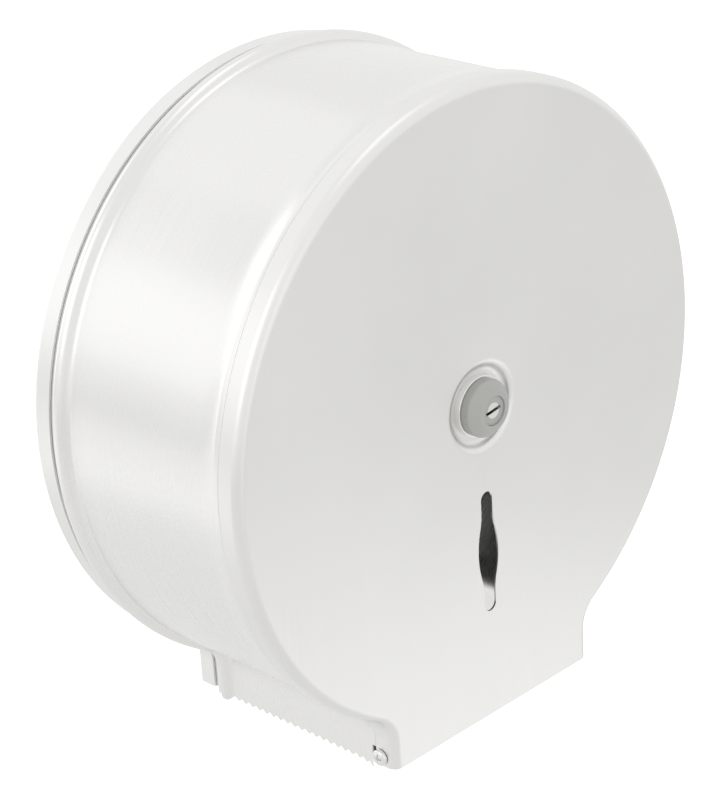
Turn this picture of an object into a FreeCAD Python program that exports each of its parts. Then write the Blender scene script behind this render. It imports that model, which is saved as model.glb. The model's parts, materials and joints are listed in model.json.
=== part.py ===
import FreeCAD, Part
import math
import os
import Sketcher

# Jumbo toilet roll dispenser in stainless sheet, for a wall.
# The roll's axis runs along Y through the origin and the wall is the plane Y = 0.
# The front faces -Y, so every depth below counts forward from the wall.
# An "out" counts outward from the drum's outer face, all the way round its outline.
# A "drop" counts down from the roll's axis.

DRIVING = {
    # Outline shared by the pan, the drum and the door, at the drum's outer face
    "drum_radius": 133.0,
    "tab_half": 59.5,
    "neck_radius": 16.0,
    "tab_length": 13.145,
    "corner_radius": 1.5,
    # Sheet metal
    "sheet": 0.8,
    "pan_sheet": 1.0,
    "nest_gap": 0.1,
    # Back pan with its raised centre and its four wall holes
    "pan_depth": 9.8,
    "pan_out": 1.3,
    "pan_bend": 2.5,
    "emboss_slope": 6.0,
    "emboss_margin": 2.0,
    "emboss_rise": 3.0,
    "wall_hole_radius": 3.25,
    "wall_span_across": 120.0,
    "wall_span_upright": 110.0,
    # Drum: tail in the pan, round bead, plain wall, flare, and a lip at the mouth
    "tail_start": 3.0,
    "bead_depth": 16.0,
    "bead_rise": 3.5,
    "bead_radius": 4.0,
    "bead_rear_foot": 0.6,
    "bead_front_foot": 3.8,
    "flare_length": 10.4,
    "crease_depth": 105.4,
    "crease_out": 1.4,
    "lip_length": 2.8,
    "mouth_out": 1.6,
    # Toothed tear edges under both sides of the drum
    "tooth_reach": 2.8,
    "tooth_height": 1.6,
    "tooth_tip": 0.4,
    "tooth_count": 20,
    "heel_radius": 3.0,
    # Door: a shallow lid with a pressed dish and a viewing slot
    "door_gap": 0.3,
    "door_reach": 10.8,
    "door_out": 1.9,
    "door_bend": 4.3,
    "dish_radius": 20.5,
    "dish_flat": 14.5,
    "dish_deep": 3.5,
    "slot_drop": 65.3,
    "slot_half": 27.45,
    "slot_end_radius": 3.35,
    "slot_mid_half": 6.0,
    "slot_straight": 5.0,
    "slot_mid_share": 0.6,
    # Hinge screws across the lower front corners, in ears fixed inside the drum
    "hinge_reach": 3.2,
    "hinge_rise": 4.4,
    "screw_radius": 1.75,
    "pivot_gap": 0.1,
    "screw_head_radius": 3.6,
    "screw_head_height": 2.2,
    "screw_head_round": 1.4,
    "head_gap": 0.2,
    "screw_tail": 1.2,
    "recess_half_span": 2.0,
    "recess_half_width": 0.5,
    "recess_deep": 1.4,
    "nut_across": 6.4,
    "nut_thick": 2.8,
    "ear_length": 29.4,
    "ear_half": 4.6,
    "ear_thick": 1.5,
    # Spindle that carries the roll
    "foot_rim": 3.0,
    "foot_thick": 3.0,
    "tube_radius": 16.0,
    "tube_wall": 2.0,
    "tube_clearance": 10.0,
    "seat_gap": 0.05,
    "rivet_radius": 2.0,
    "rivet_clearance": 0.4,
    "rivet_head_radius": 4.0,
    "rivet_front_head": 1.6,
    "rivet_rear_head": 1.2,
    "rivet_round": 0.8,
    "rivet_count": 4,
    "washer_rim": 2.6,
    "washer_thick": 2.4,
    "cap_rim": 3.0,
    "cap_thick": 2.5,
    "cap_round": 0.8,
    "spigot_length": 7.0,
    "spigot_wall": 2.0,
    "strike_long": 21.0,
    "strike_high": 7.5,
    "pin_radius": 1.5,
    "pin_inset": 4.0,
    # Sleeve that turns on the spindle
    "hub_gap": 0.3,
    "hub_wall": 4.7,
    "hub_end_gap": 0.4,
    "hub_flange_radius": 32.0,
    "hub_flange_thick": 2.5,
    "hub_nose_chamfer": 1.5,
    # Lock in the door's dish
    "barrel_radius": 11.0,
    "barrel_gap": 0.2,
    "barrel_length": 15.0,
    "bezel_radius": 13.2,
    "bezel_set_back": 0.8,
    "bezel_round": 0.5,
    "boss_radius": 12.2,
    "boss_reach": 6.5,
    "boss_chamfer": 3.7,
    "boss_round": 1.2,
    "lock_nut_across": 27.0,
    "lock_nut_thick": 3.0,
    # Key plug, its core, and the cam bar behind them
    "plug_radius": 6.2,
    "plug_recess": 0.8,
    "turn_gap": 0.1,
    "collar_radius": 8.5,
    "collar_length": 5.0,
    "clip_thick": 1.2,
    "clip_inset": 0.4,
    "plug_stub": 0.6,
    "core_radius": 3.4,
    "core_length": 14.0,
    "key_long": 8.8,
    "key_wide": 1.4,
    "key_deep": 10.0,
    "key_tilt": 8.0,
    "stem_radius": 2.5,
    "cam_half_long": 9.5,
    "cam_half_high": 2.5,
    "cam_thick": 2.5,
    "cam_gap": 0.3,
    "cam_screw_radius": 1.25,
    "cam_screw_head_radius": 2.4,
    "cam_screw_head_height": 1.4,
    "cam_screw_grip": 6.0,
    "cam_recess_half_span": 1.3,
    "cam_recess_half_width": 0.3,
    "cam_recess_deep": 0.8,
    # How far a cutting shape runs past what it cuts
    "overrun": 4.0,
}

FULL_TURN = 360.0
HALF_TURN = "half turn"
AXIS_UP = FreeCAD.Vector(0, 0, 1)

doc = FreeCAD.newDocument("roll_dispenser")
sheet = doc.addObject("Spreadsheet::Sheet", "sizes")
for row, (word, number) in enumerate(DRIVING.items(), start=1):
    sheet.set(f"A{row}", word)
    sheet.set(f"B{row}", str(number))
    sheet.setAlias(f"B{row}", word)
doc.recompute()


class Size:
    """A size as a number, and as the sheet expression that gives that number."""

    def __init__(self, value, text):
        self.value = float(value)
        self.text = text

    def __add__(self, other):
        return Size(self.value + other.value, f"({self.text} + {other.text})")

    def __sub__(self, other):
        return Size(self.value - other.value, f"({self.text} - {other.text})")

    def __mul__(self, other):
        return Size(self.value * other.value, f"({self.text} * {other.text})")

    def __truediv__(self, other):
        return Size(self.value / other.value, f"({self.text} / {other.text})")

    def __neg__(self):
        return Size(-self.value, f"(0 - {self.text})")


class Named:
    """Gives a driving size by its name, bound to its cell in the sheet."""

    def __getattr__(self, word):
        return Size(DRIVING[word], "sizes." + word)


class Step:
    """One vertex of an outline, and how the edge after it runs to the next.

    The edge is straight without a radius. With one it is an arc that turns
    left (turn 1) or right (turn -1), the long way round where that is said.
    HALF_TURN as the radius makes a half circle on the chord to the next vertex.
    """

    def __init__(self, across, along, radius=None, turn=1, long_way=False):
        self.across = across
        self.along = along
        self.radius = radius
        self.turn = turn
        self.long_way = long_way

    def point(self):
        return FreeCAD.Vector(self.across.value, self.along.value, 0)


s = Named()
NIL = Size(0, "0")
HALF = Size(0.5, "0.5")
TWO = Size(2, "2")
THREE = Size(3, "3")


def root(size):
    return Size(math.sqrt(size.value), f"sqrt({size.text})")


def square(size):
    return size * size


# Places that several pieces share, worked out from the driving sizes
neck_across = s.tab_half + s.neck_radius
neck_reach = s.drum_radius + s.neck_radius
neck_drop = root(square(neck_reach) - square(neck_across))
tab_bottom = neck_drop + s.tab_length
tooth_drop = tab_bottom + s.tooth_reach
hinge_drop = tab_bottom - s.hinge_rise
flare_start = s.crease_depth - s.flare_length
mouth_depth = s.crease_depth + s.lip_length
hinge_depth = mouth_depth + s.hinge_reach
ear_rear = hinge_depth - s.ear_length
door_face = mouth_depth + s.door_reach
barrel_rear = door_face - s.barrel_length
tube_front = barrel_rear - s.tube_clearance
tail_out = s.pan_out - s.pan_sheet - s.nest_gap
emboss_back = s.emboss_rise
emboss_front = s.emboss_rise + s.pan_sheet
foot_front = emboss_front + s.foot_thick
washer_front = foot_front + s.washer_thick
washer_radius = s.tube_radius + s.washer_rim
cap_radius = s.tube_radius + s.cap_rim
rivet_circle = washer_radius + s.rivet_clearance + s.rivet_head_radius
foot_radius = rivet_circle + s.rivet_head_radius + s.foot_rim
emboss_flat = foot_radius + s.emboss_margin
emboss_radius = emboss_flat + s.emboss_slope
hub_rear = washer_front + s.hub_end_gap
hub_front = tube_front - s.hub_end_gap
hub_bore = s.tube_radius + s.hub_gap
tube_bore = s.tube_radius - s.tube_wall
spigot_radius = tube_bore - s.seat_gap
spigot_bore = spigot_radius - s.spigot_wall
pin_depth = tube_front - s.pin_inset
cap_front = tube_front + s.cap_thick
door_rear = mouth_depth + s.door_gap
dish_floor = door_face - s.dish_deep
dish_back = dish_floor - s.sheet
bezel_front = door_face - s.bezel_set_back
boss_front = door_face + s.boss_reach
barrel_hole = s.barrel_radius + s.barrel_gap
plug_bore = s.plug_radius + s.turn_gap
collar_bore = s.collar_radius + s.turn_gap
clip_rear = barrel_rear + s.clip_inset
clip_front = clip_rear + s.clip_thick
collar_rear = clip_front + s.turn_gap
collar_front = collar_rear + s.collar_length
collar_seat = collar_front + s.turn_gap
plug_front = boss_front - s.plug_recess
plug_rear = barrel_rear - s.plug_stub
cam_front = tube_front - s.cam_gap
cam_rear = cam_front - s.cam_thick
pivot_hole = s.screw_radius + s.pivot_gap
ear_outer = s.tab_half - s.sheet - s.nest_gap
ear_inner = ear_outer - s.ear_thick


def new_body(name):
    body = doc.addObject("PartDesign::Body", name)
    body.Label = name
    body.AllowCompound = True
    return body


def origin_item(body, role):
    return next(item for item in body.Origin.OriginFeatures if item.Role == role)


def new_sketch(body, name, role, lift=NIL):
    """A sketch on one of the body's own origin planes, lifted along its normal."""
    sketch = body.newObject("Sketcher::SketchObject", f"{body.Name}_{name}")
    sketch.AttachmentSupport = [(origin_item(body, role), "")]
    sketch.MapMode = "FlatFace"
    sketch.setExpression("AttachmentOffset.Base.z", lift.text)
    return sketch


def hold(sketch, kind, parts, size):
    """Add one measured constraint and bind it to the sheet."""
    index = sketch.addConstraint(Sketcher.Constraint(kind, *parts, size.value))
    name = f"{kind}_{index}"
    sketch.renameConstraint(index, name)
    sketch.setExpression(f"Constraints.{name}", size.text)


def hold_point(sketch, geometry, position, across, along):
    hold(sketch, "DistanceX", (-1, 1, geometry, position), across)
    hold(sketch, "DistanceY", (-1, 1, geometry, position), along)


def hold_middle(sketch, geometry, step, after):
    """Hold a half circle's centre in line with the middle of its chord."""
    chord = after.point() - step.point()
    if abs(chord.y) > abs(chord.x):
        hold(sketch, "DistanceX", (-1, 1, geometry, 3), (step.across + after.across) * HALF)
    else:
        hold(sketch, "DistanceY", (-1, 1, geometry, 3), (step.along + after.along) * HALF)


def arc_between(step, after):
    """The arc from one step to the next; its centre lies on the side it turns to."""
    first = step.point()
    last = after.point()
    chord = last - first
    radius = chord.Length / 2 if step.radius is HALF_TURN else step.radius.value
    reach = math.sqrt(max(radius ** 2 - (chord.Length / 2) ** 2, 0))
    side = step.turn * (-1 if step.long_way else 1)
    left = FreeCAD.Vector(-chord.y, chord.x, 0) * (side / chord.Length)
    centre = (first + last) * 0.5 + left * reach
    begin, finish = (first, last) if step.turn > 0 else (last, first)
    start = math.atan2(begin.y - centre.y, begin.x - centre.x)
    stop = math.atan2(finish.y - centre.y, finish.x - centre.x)
    if stop < start:
        stop += 2 * math.pi
    return Part.ArcOfCircle(Part.Circle(centre, AXIS_UP, radius), start, stop)


def trace(sketch, steps, closed=True):
    """Draw a chain of lines and arcs with every vertex held by its two distances."""
    edges = []
    count = len(steps) if closed else len(steps) - 1
    for index in range(count):
        step = steps[index]
        after = steps[(index + 1) % len(steps)]
        if step.radius is None:
            line = Part.LineSegment(step.point(), after.point())
            edges.append((sketch.addGeometry(line, False), 1, 2))
            continue
        geometry = sketch.addGeometry(arc_between(step, after), False)
        edges.append((geometry, 1, 2) if step.turn > 0 else (geometry, 2, 1))
        if step.radius is HALF_TURN:
            hold_middle(sketch, geometry, step, after)
        else:
            hold(sketch, "Radius", (geometry,), step.radius)
    for index, (geometry, start, stop) in enumerate(edges):
        hold_point(sketch, geometry, start, steps[index].across, steps[index].along)
        if index > 0:
            before, _, end = edges[index - 1]
            sketch.addConstraint(Sketcher.Constraint("Coincident", before, end, geometry, start))
    geometry, _, end = edges[-1]
    if closed:
        first, start, _ = edges[0]
        sketch.addConstraint(Sketcher.Constraint("Coincident", geometry, end, first, start))
    else:
        hold_point(sketch, geometry, end, steps[-1].across, steps[-1].along)


def box_steps(half_across, half_along):
    """A rectangle round the sketch's origin."""
    return [
        Step(-half_across, -half_along),
        Step(half_across, -half_along),
        Step(half_across, half_along),
        Step(-half_across, half_along),
    ]


def ring(sketch, across, along, radius):
    centre = FreeCAD.Vector(across.value, along.value, 0)
    circle = Part.Circle(centre, AXIS_UP, radius.value)
    geometry = sketch.addGeometry(circle, False)
    hold(sketch, "Radius", (geometry,), radius)
    hold_point(sketch, geometry, 3, across, along)


def pad(body, sketch, length):
    item = body.newObject("PartDesign::Pad", f"{sketch.Name}_pad")
    item.Profile = sketch
    item.setExpression("Length", length.text)
    return item


def pocket(body, sketch, length, forward=False, both_ways=False):
    """Cut against the sketch's normal, along it when forward, or half each way."""
    item = body.newObject("PartDesign::Pocket", f"{sketch.Name}_cut")
    item.Profile = sketch
    item.Reversed = forward
    if both_ways:
        item.SideType = "Symmetric"
    item.setExpression("Length", length.text)
    return item


def turn(body, sketch, axis="V_Axis"):
    item = body.newObject("PartDesign::Revolution", f"{sketch.Name}_turn")
    item.Profile = sketch
    item.ReferenceAxis = (sketch, [axis])
    item.Angle = FULL_TURN
    return item


def turned_body(name, steps):
    """A body turned about the roll's axis from (radius, depth) steps."""
    body = new_body(name)
    sketch = new_sketch(body, "profile", "XY_Plane")
    trace(sketch, steps)
    turn(body, sketch)
    return body


def at(radius, depth, *arc):
    """A profile vertex at a radius and a depth in front of the wall."""
    return Step(radius, -depth, *arc)


def round_edges(body, name, size, wanted):
    """Fillet the edges of the body's shape that the test picks."""
    doc.recompute()
    base = body.Tip
    picked = []
    for index, edge in enumerate(base.Shape.Edges, start=1):
        if wanted(edge):
            picked.append(f"Edge{index}")
    item = body.newObject("PartDesign::Fillet", f"{body.Name}_{name}")
    item.Base = (base, picked)
    item.setExpression("Radius", size.text)
    return item


def at_depth(edge, depth):
    """True where a whole edge lies in the plane at that depth."""
    box = edge.BoundBox
    near = s.nest_gap.value / 2
    return abs(box.YMin + depth.value) < near and abs(box.YMax + depth.value) < near


def at_drop(edge, drop):
    """True where a whole edge lies in the level plane at that drop."""
    box = edge.BoundBox
    near = s.nest_gap.value / 2
    return abs(box.ZMin + drop.value) < near and abs(box.ZMax + drop.value) < near


def side_steps(out, bottom):
    """The right-hand run of the outline, from the bottom up to the big circle.

    The tab's straight side meets the circle through a hollow neck. The neck's
    centre stays where it is for every offset, so offsets stay parallel.
    """
    share = (s.drum_radius + out) / neck_reach
    hollow = s.neck_radius - out
    return [
        (s.tab_half + out, -bottom, None),
        (s.tab_half + out, -neck_drop, hollow),
        (neck_across * share, -(neck_drop * share), s.drum_radius + out),
    ]


def outline(out, bottom):
    """The closed front-view outline at an offset, from the lower right and round."""
    low, neck, circle = side_steps(out, bottom)
    return [
        Step(low[0], low[1]),
        Step(neck[0], neck[1], neck[2], -1),
        Step(circle[0], circle[1], circle[2], 1, True),
        Step(-circle[0], circle[1], neck[2], -1),
        Step(-neck[0], neck[1]),
        Step(-low[0], low[1]),
    ]


def pressed_ring(flat, bore, face, rise, sheet_thick, rim, forward):
    """Profile of a pressed area: sheet that moves from one plane to another.

    Two equal arcs make the S between the rim radius and the flat's radius.
    The sheet moves forward by the rise, or back where forward is False.
    """
    run = rim - flat
    arcs = (square(run) + square(rise)) / (TWO * rise)
    shift = rise if forward else -rise
    small = (arcs - sheet_thick) * HALF
    large = (arcs + sheet_thick) * HALF
    near, far = (small, large) if forward else (large, small)
    way = 1 if forward else -1
    back = face - sheet_thick
    near_share = near / arcs
    far_share = far / arcs
    return [
        at(rim, face, near, way),
        at(rim - run * near_share, face + shift * near_share, far, -way),
        at(flat, face + shift),
        at(bore, face + shift),
        at(bore, back + shift),
        at(flat, back + shift, near, way),
        at(flat + run * near_share, back + shift - shift * near_share, far, -way),
        at(rim, back),
    ]


def trim_corners(body, out, length):
    """Round the two lower corners of a tab, through the whole piece."""
    half = s.tab_half + out
    low = tab_bottom + s.overrun
    sketch = new_sketch(body, "corners", "XZ_Plane")
    for mirror in (1, -1):
        sign = Size(mirror, str(mirror))
        trace(sketch, [
            Step(half * sign, s.corner_radius - tab_bottom, s.corner_radius, -mirror),
            Step((half - s.corner_radius) * sign, -tab_bottom),
            Step((half - s.corner_radius) * sign, -low),
            Step((half + s.overrun) * sign, -low),
            Step((half + s.overrun) * sign, s.corner_radius - tab_bottom),
        ])
    pocket(body, sketch, length, forward=True)


def make_back_plate():
    """Shallow pan against the wall, raised at its centre to carry the spindle."""
    body = new_body("back_plate")
    sketch = new_sketch(body, "blank", "XZ_Plane")
    trace(sketch, outline(s.pan_out, tab_bottom))
    pad(body, sketch, s.pan_depth)
    round_edges(body, "outer_bend", s.pan_bend,
                lambda edge: at_depth(edge, NIL) and not at_drop(edge, tab_bottom))

    sketch = new_sketch(body, "inside", "XZ_Plane", s.pan_depth)
    trace(sketch, outline(s.pan_out - s.pan_sheet, tab_bottom + s.overrun))
    pocket(body, sketch, s.pan_depth - s.pan_sheet)
    round_edges(body, "inner_bend", s.pan_bend - s.pan_sheet,
                lambda edge: at_depth(edge, s.pan_sheet) and not at_drop(edge, tab_bottom))

    sketch = new_sketch(body, "centre", "XZ_Plane")
    ring(sketch, NIL, NIL, emboss_radius)
    pocket(body, sketch, s.pan_sheet, forward=True)
    sketch = new_sketch(body, "emboss", "XY_Plane")
    trace(sketch, pressed_ring(emboss_flat, s.rivet_radius, s.pan_sheet, s.emboss_rise,
                               s.pan_sheet, emboss_radius, True))
    turn(body, sketch)

    sketch = new_sketch(body, "wall_holes", "XZ_Plane")
    across = s.wall_span_across * HALF
    upright = s.wall_span_upright * HALF
    for hole_across, hole_up in ((across, upright), (-across, upright),
                                 (-across, -upright), (across, -upright)):
        ring(sketch, hole_across, hole_up, s.wall_hole_radius)
    pocket(body, sketch, s.pan_sheet + s.overrun, forward=True)
    rivet_holes(body, emboss_front + s.overrun)
    trim_corners(body, s.pan_out, s.pan_depth)
    return body


def rivet_holes(body, length):
    sketch = new_sketch(body, "rivet_hole", "XZ_Plane")
    ring(sketch, rivet_circle, NIL, s.rivet_radius + s.seat_gap)
    hole = pocket(body, sketch, length, forward=True)
    repeat_round(body, [hole])


def repeat_round(body, features):
    """Repeat features evenly round the roll's axis, once for each rivet."""
    pattern = body.newObject("PartDesign::PolarPattern", f"{body.Name}_round")
    pattern.Originals = features
    pattern.Axis = (origin_item(body, "Y_Axis"), [""])
    pattern.Angle = FULL_TURN
    pattern.setExpression("Occurrences", s.rivet_count.text)
    body.Tip = pattern


def drum_profile():
    """Section through the drum's sheet, at the foot of its right-hand side.

    From the wall forward: tail in the pan's rim, round bead, plain wall, hollow
    flare, crease, and a narrow lip that ends at the mouth.
    """
    def edge(out, depth, *arc):
        return Step(s.tab_half + out, -depth, *arc)

    bead_out = s.bead_rise - s.bead_radius
    rear_across = tail_out + s.bead_rear_foot - bead_out
    rear_reach = s.bead_radius + s.bead_rear_foot
    rear_along = root(square(rear_reach) - square(rear_across))
    front_across = s.bead_front_foot - bead_out
    front_reach = s.bead_radius + s.bead_front_foot
    front_along = root(square(front_reach) - square(front_across))
    rear_foot = s.bead_depth - rear_along
    front_foot = s.bead_depth + front_along

    def bead_edge(radius, reach, across, along, *arc):
        share = radius / reach
        return edge(bead_out + across * share, s.bead_depth + along * share, *arc)

    flare_run = s.crease_depth - flare_start
    flare = (square(flare_run) + square(s.crease_out)) / (TWO * s.crease_out)
    inner_flare = flare + s.sheet
    inner_crease = flare - root(square(inner_flare) - square(flare_run))
    inner_bead = s.bead_radius - s.sheet
    return [
        edge(tail_out, s.tail_start),
        edge(tail_out, rear_foot, s.bead_rear_foot, 1),
        bead_edge(s.bead_radius, rear_reach, rear_across, -rear_along, s.bead_radius, -1),
        bead_edge(s.bead_radius, front_reach, front_across, front_along, s.bead_front_foot, 1),
        edge(NIL, front_foot),
        edge(NIL, flare_start, flare, 1),
        edge(s.crease_out, s.crease_depth),
        edge(s.mouth_out, mouth_depth),
        edge(s.mouth_out - s.sheet, mouth_depth),
        edge(inner_crease, s.crease_depth, inner_flare, -1),
        edge(-s.sheet, flare_start),
        edge(-s.sheet, front_foot, s.bead_front_foot + s.sheet, -1),
        bead_edge(inner_bead, front_reach, front_across, front_along, inner_bead, 1),
        bead_edge(inner_bead, rear_reach, rear_across, -rear_along,
                  s.bead_rear_foot + s.sheet, -1),
        edge(tail_out - s.sheet, rear_foot),
        edge(tail_out - s.sheet, s.tail_start),
    ]


def make_drum_wall():
    """The drum's wall: one strip of sheet bent round the outline, open below.

    Its lip is cut back to the crease round each hinge screw, up to the screw
    head's top, so that the door's lower corners can swing in.
    """
    body = new_body("drum_wall")
    path = new_sketch(body, "path", "XZ_Plane")
    run = outline(NIL, tooth_drop)
    trace(path, run, closed=False)
    profile = new_sketch(body, "section", "XY_Plane", -tooth_drop)
    trace(profile, drum_profile())
    sweep = body.newObject("PartDesign::AdditivePipe", "drum_wall_sweep")
    sweep.Profile = profile
    sweep.Spine = (path, [])
    sweep.Mode = "Binormal"
    sweep.Binormal = FreeCAD.Vector(0, 1, 0)

    below = tooth_drop + s.overrun
    through = (s.tab_half + s.bead_rise + s.overrun) * TWO
    sketch = new_sketch(body, "heel", "YZ_Plane")
    trace(sketch, [
        Step(s.overrun, -tab_bottom),
        Step(s.overrun, -below),
        Step(-(s.bead_depth + s.heel_radius), -below),
        Step(-(s.bead_depth + s.heel_radius), -tooth_drop, s.heel_radius, -1),
        Step(-s.bead_depth, s.heel_radius - tooth_drop),
        Step(-s.bead_depth, -tab_bottom),
    ])
    pocket(body, sketch, through, both_ways=True)

    head_rise = s.screw_head_radius - hinge_drop
    front = mouth_depth + s.overrun
    sketch = new_sketch(body, "relief", "YZ_Plane")
    trace(sketch, [
        Step(-s.crease_depth, -below),
        Step(-s.crease_depth, head_rise),
        Step(-front, head_rise),
        Step(-front, -below),
    ])
    pocket(body, sketch, through, both_ways=True)

    toothed = s.crease_depth - s.bead_depth - s.heel_radius
    pitch = toothed / s.tooth_count
    flank = (pitch - s.tooth_tip) * HALF
    middle = s.crease_depth - pitch * HALF
    sketch = new_sketch(body, "tooth", "YZ_Plane")
    trace(sketch, [
        Step(-(middle + flank), -tooth_drop),
        Step(-(middle + flank), -below),
        Step(-(middle - flank), -below),
        Step(-(middle - flank), -tooth_drop),
        Step(-middle, s.tooth_height - tooth_drop),
    ])
    notch = pocket(body, sketch, through, both_ways=True)
    pattern = body.newObject("PartDesign::LinearPattern", "drum_wall_teeth")
    pattern.Originals = [notch]
    pattern.Direction = (origin_item(body, "Y_Axis"), [""])
    pattern.setExpression("Length", (toothed - pitch).text)
    pattern.setExpression("Occurrences", s.tooth_count.text)
    body.Tip = pattern
    return body


def slot_steps():
    """The viewing slot: round ends, short straight necks and a fuller middle."""
    rise = s.slot_mid_half - s.slot_end_radius
    run = s.slot_half - s.slot_end_radius - s.slot_straight
    arcs = (square(run) + square(rise)) / (TWO * rise)
    middle = arcs * s.slot_mid_share
    hollow = arcs - middle
    bend_across = s.slot_mid_half - rise * s.slot_mid_share
    bend_along = run * s.slot_mid_share
    end_along = s.slot_half - s.slot_end_radius
    end = s.slot_end_radius

    def place(across, along, *arc):
        return Step(across, along - s.slot_drop, *arc)

    return [
        place(bend_across, -bend_along, middle, 1),
        place(bend_across, bend_along, hollow, -1),
        place(end, run),
        place(end, end_along, HALF_TURN, 1),
        place(-end, end_along),
        place(-end, run, hollow, -1),
        place(-bend_across, bend_along, middle, 1),
        place(-bend_across, -bend_along, hollow, -1),
        place(-end, -run),
        place(-end, -end_along, HALF_TURN, 1),
        place(end, -end_along),
        place(end, -run, hollow, -1),
    ]


def make_front_plate():
    """The door: flat face, bend, and a skirt that meets the drum's mouth edge to edge."""
    body = new_body("front_plate")
    skirt = door_face - door_rear
    sketch = new_sketch(body, "blank", "XZ_Plane", door_rear)
    trace(sketch, outline(s.door_out, tab_bottom))
    pad(body, sketch, skirt)
    sketch = new_sketch(body, "inside", "XZ_Plane", door_rear)
    trace(sketch, outline(s.door_out - s.sheet, tab_bottom + s.overrun))
    pocket(body, sketch, skirt - s.sheet, forward=True)
    inner_face = door_face - s.sheet
    round_edges(body, "inner_bend", s.door_bend - s.sheet,
                lambda edge: at_depth(edge, inner_face) and not at_drop(edge, tab_bottom))
    round_edges(body, "outer_bend", s.door_bend,
                lambda edge: at_depth(edge, door_face) and not at_drop(edge, tab_bottom))

    sketch = new_sketch(body, "centre", "XZ_Plane", door_face)
    ring(sketch, NIL, NIL, s.dish_radius)
    pocket(body, sketch, s.sheet)
    sketch = new_sketch(body, "dish", "XY_Plane")
    trace(sketch, pressed_ring(s.dish_flat, barrel_hole, door_face, s.dish_deep,
                               s.sheet, s.dish_radius, False))
    turn(body, sketch)

    sketch = new_sketch(body, "slot", "XZ_Plane", door_face)
    trace(sketch, slot_steps())
    pocket(body, sketch, s.sheet + s.overrun)
    through = (s.tab_half + s.overrun) * TWO
    sketch = new_sketch(body, "pivot", "YZ_Plane")
    ring(sketch, -hinge_depth, -hinge_drop, pivot_hole)
    pocket(body, sketch, through, both_ways=True)
    trim_corners(body, s.door_out, door_face)
    cut_heels(body, through)
    return body


def cut_heels(body, through):
    """Round the skirt's lower rear corners about the pivot, so they pass the lip."""
    fall = root(square(s.hinge_rise) - square(hinge_depth - door_rear))
    behind = door_rear - s.overrun
    sketch = new_sketch(body, "heels", "YZ_Plane")
    trace(sketch, [
        Step(-hinge_depth, -tab_bottom, s.hinge_rise, 1),
        Step(-door_rear, -hinge_drop - fall),
        Step(-behind, -hinge_drop - fall),
        Step(-behind, -tab_bottom - s.overrun),
        Step(-hinge_depth, -tab_bottom - s.overrun),
    ])
    pocket(body, sketch, through, both_ways=True)


def cross_steps(span, width):
    """A plus-shaped recess, from its half span and its half width."""
    quarter = [(span, -width), (span, width), (width, width)]
    points = []
    for across, along in quarter:
        points.append((across, along))
    for across, along in quarter:
        points.append((-along, across))
    for across, along in quarter:
        points.append((-across, -along))
    for across, along in quarter:
        points.append((along, -across))
    return [Step(across, along) for across, along in points]


def make_hinge_screw(side, mirror):
    """A pan-head screw along X; its own axis is Y with the head's seat at zero."""
    head_seat = s.tab_half + s.door_out + s.head_gap
    shank = head_seat - ear_inner + s.nut_thick + s.screw_tail
    body = turned_body(f"hinge_screw_{side}", [
        at(NIL, -shank),
        at(s.screw_radius, -shank),
        at(s.screw_radius, NIL),
        at(s.screw_head_radius, NIL),
        at(s.screw_head_radius, s.screw_head_height),
        at(NIL, s.screw_head_height),
    ])
    round_edges(body, "crown", s.screw_head_round,
                lambda edge: at_depth(edge, s.screw_head_height))
    sketch = new_sketch(body, "recess", "XZ_Plane", s.screw_head_height)
    trace(sketch, cross_steps(s.recess_half_span, s.recess_half_width))
    pocket(body, sketch, s.recess_deep)
    sign = Size(mirror, str(mirror))
    place(body, head_seat * sign, -hinge_depth, -hinge_drop, 90 * mirror)
    return body


def make_hinge_nut(side, mirror):
    """A square nut welded to the inner face of the ear."""
    body = new_body(f"hinge_nut_{side}")
    half = s.nut_across * HALF
    sketch = new_sketch(body, "square", "XZ_Plane")
    trace(sketch, box_steps(half, half))
    ring(sketch, NIL, NIL, s.screw_radius + s.seat_gap)
    pad(body, sketch, s.nut_thick)
    inner = ear_inner - s.nut_thick
    sign = Size(mirror, str(mirror))
    place(body, inner * sign, -hinge_depth, -hinge_drop, 90 * mirror)
    return body


def make_hinge_ear(side, mirror):
    """A strip spot-welded inside the drum, whose round front end holds a hinge screw."""
    body = new_body(f"hinge_ear_{side}")
    sketch = new_sketch(body, "strip", "YZ_Plane", ear_inner if mirror > 0 else -ear_outer)
    trace(sketch, [
        Step(-ear_rear, -hinge_drop - s.ear_half),
        Step(-ear_rear, -hinge_drop + s.ear_half),
        Step(-hinge_depth, -hinge_drop + s.ear_half, HALF_TURN, 1),
        Step(-hinge_depth, -hinge_drop - s.ear_half),
    ])
    ring(sketch, -hinge_depth, -hinge_drop, s.screw_radius + s.seat_gap)
    pad(body, sketch, s.ear_thick)
    return body


def place(body, across, along, up, swing):
    """Turn a body about Z by whole degrees and put its origin at a bound place."""
    body.Placement = FreeCAD.Placement(
        FreeCAD.Vector(across.value, along.value, up.value),
        FreeCAD.Rotation(AXIS_UP, swing))
    body.setExpression("Placement.Base.x", across.text)
    body.setExpression("Placement.Base.y", along.text)
    body.setExpression("Placement.Base.z", up.text)


def ring_steps(inner, outer, rear, front):
    return [at(inner, rear), at(outer, rear), at(outer, front), at(inner, front)]


def make_spindle_foot():
    """Disc riveted to the pan's raised centre, welded round the spindle tube."""
    bore = s.tube_radius + s.seat_gap
    body = turned_body("spindle_foot", ring_steps(bore, foot_radius, emboss_front, foot_front))
    rivet_holes(body, foot_front + s.overrun)
    return body


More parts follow.
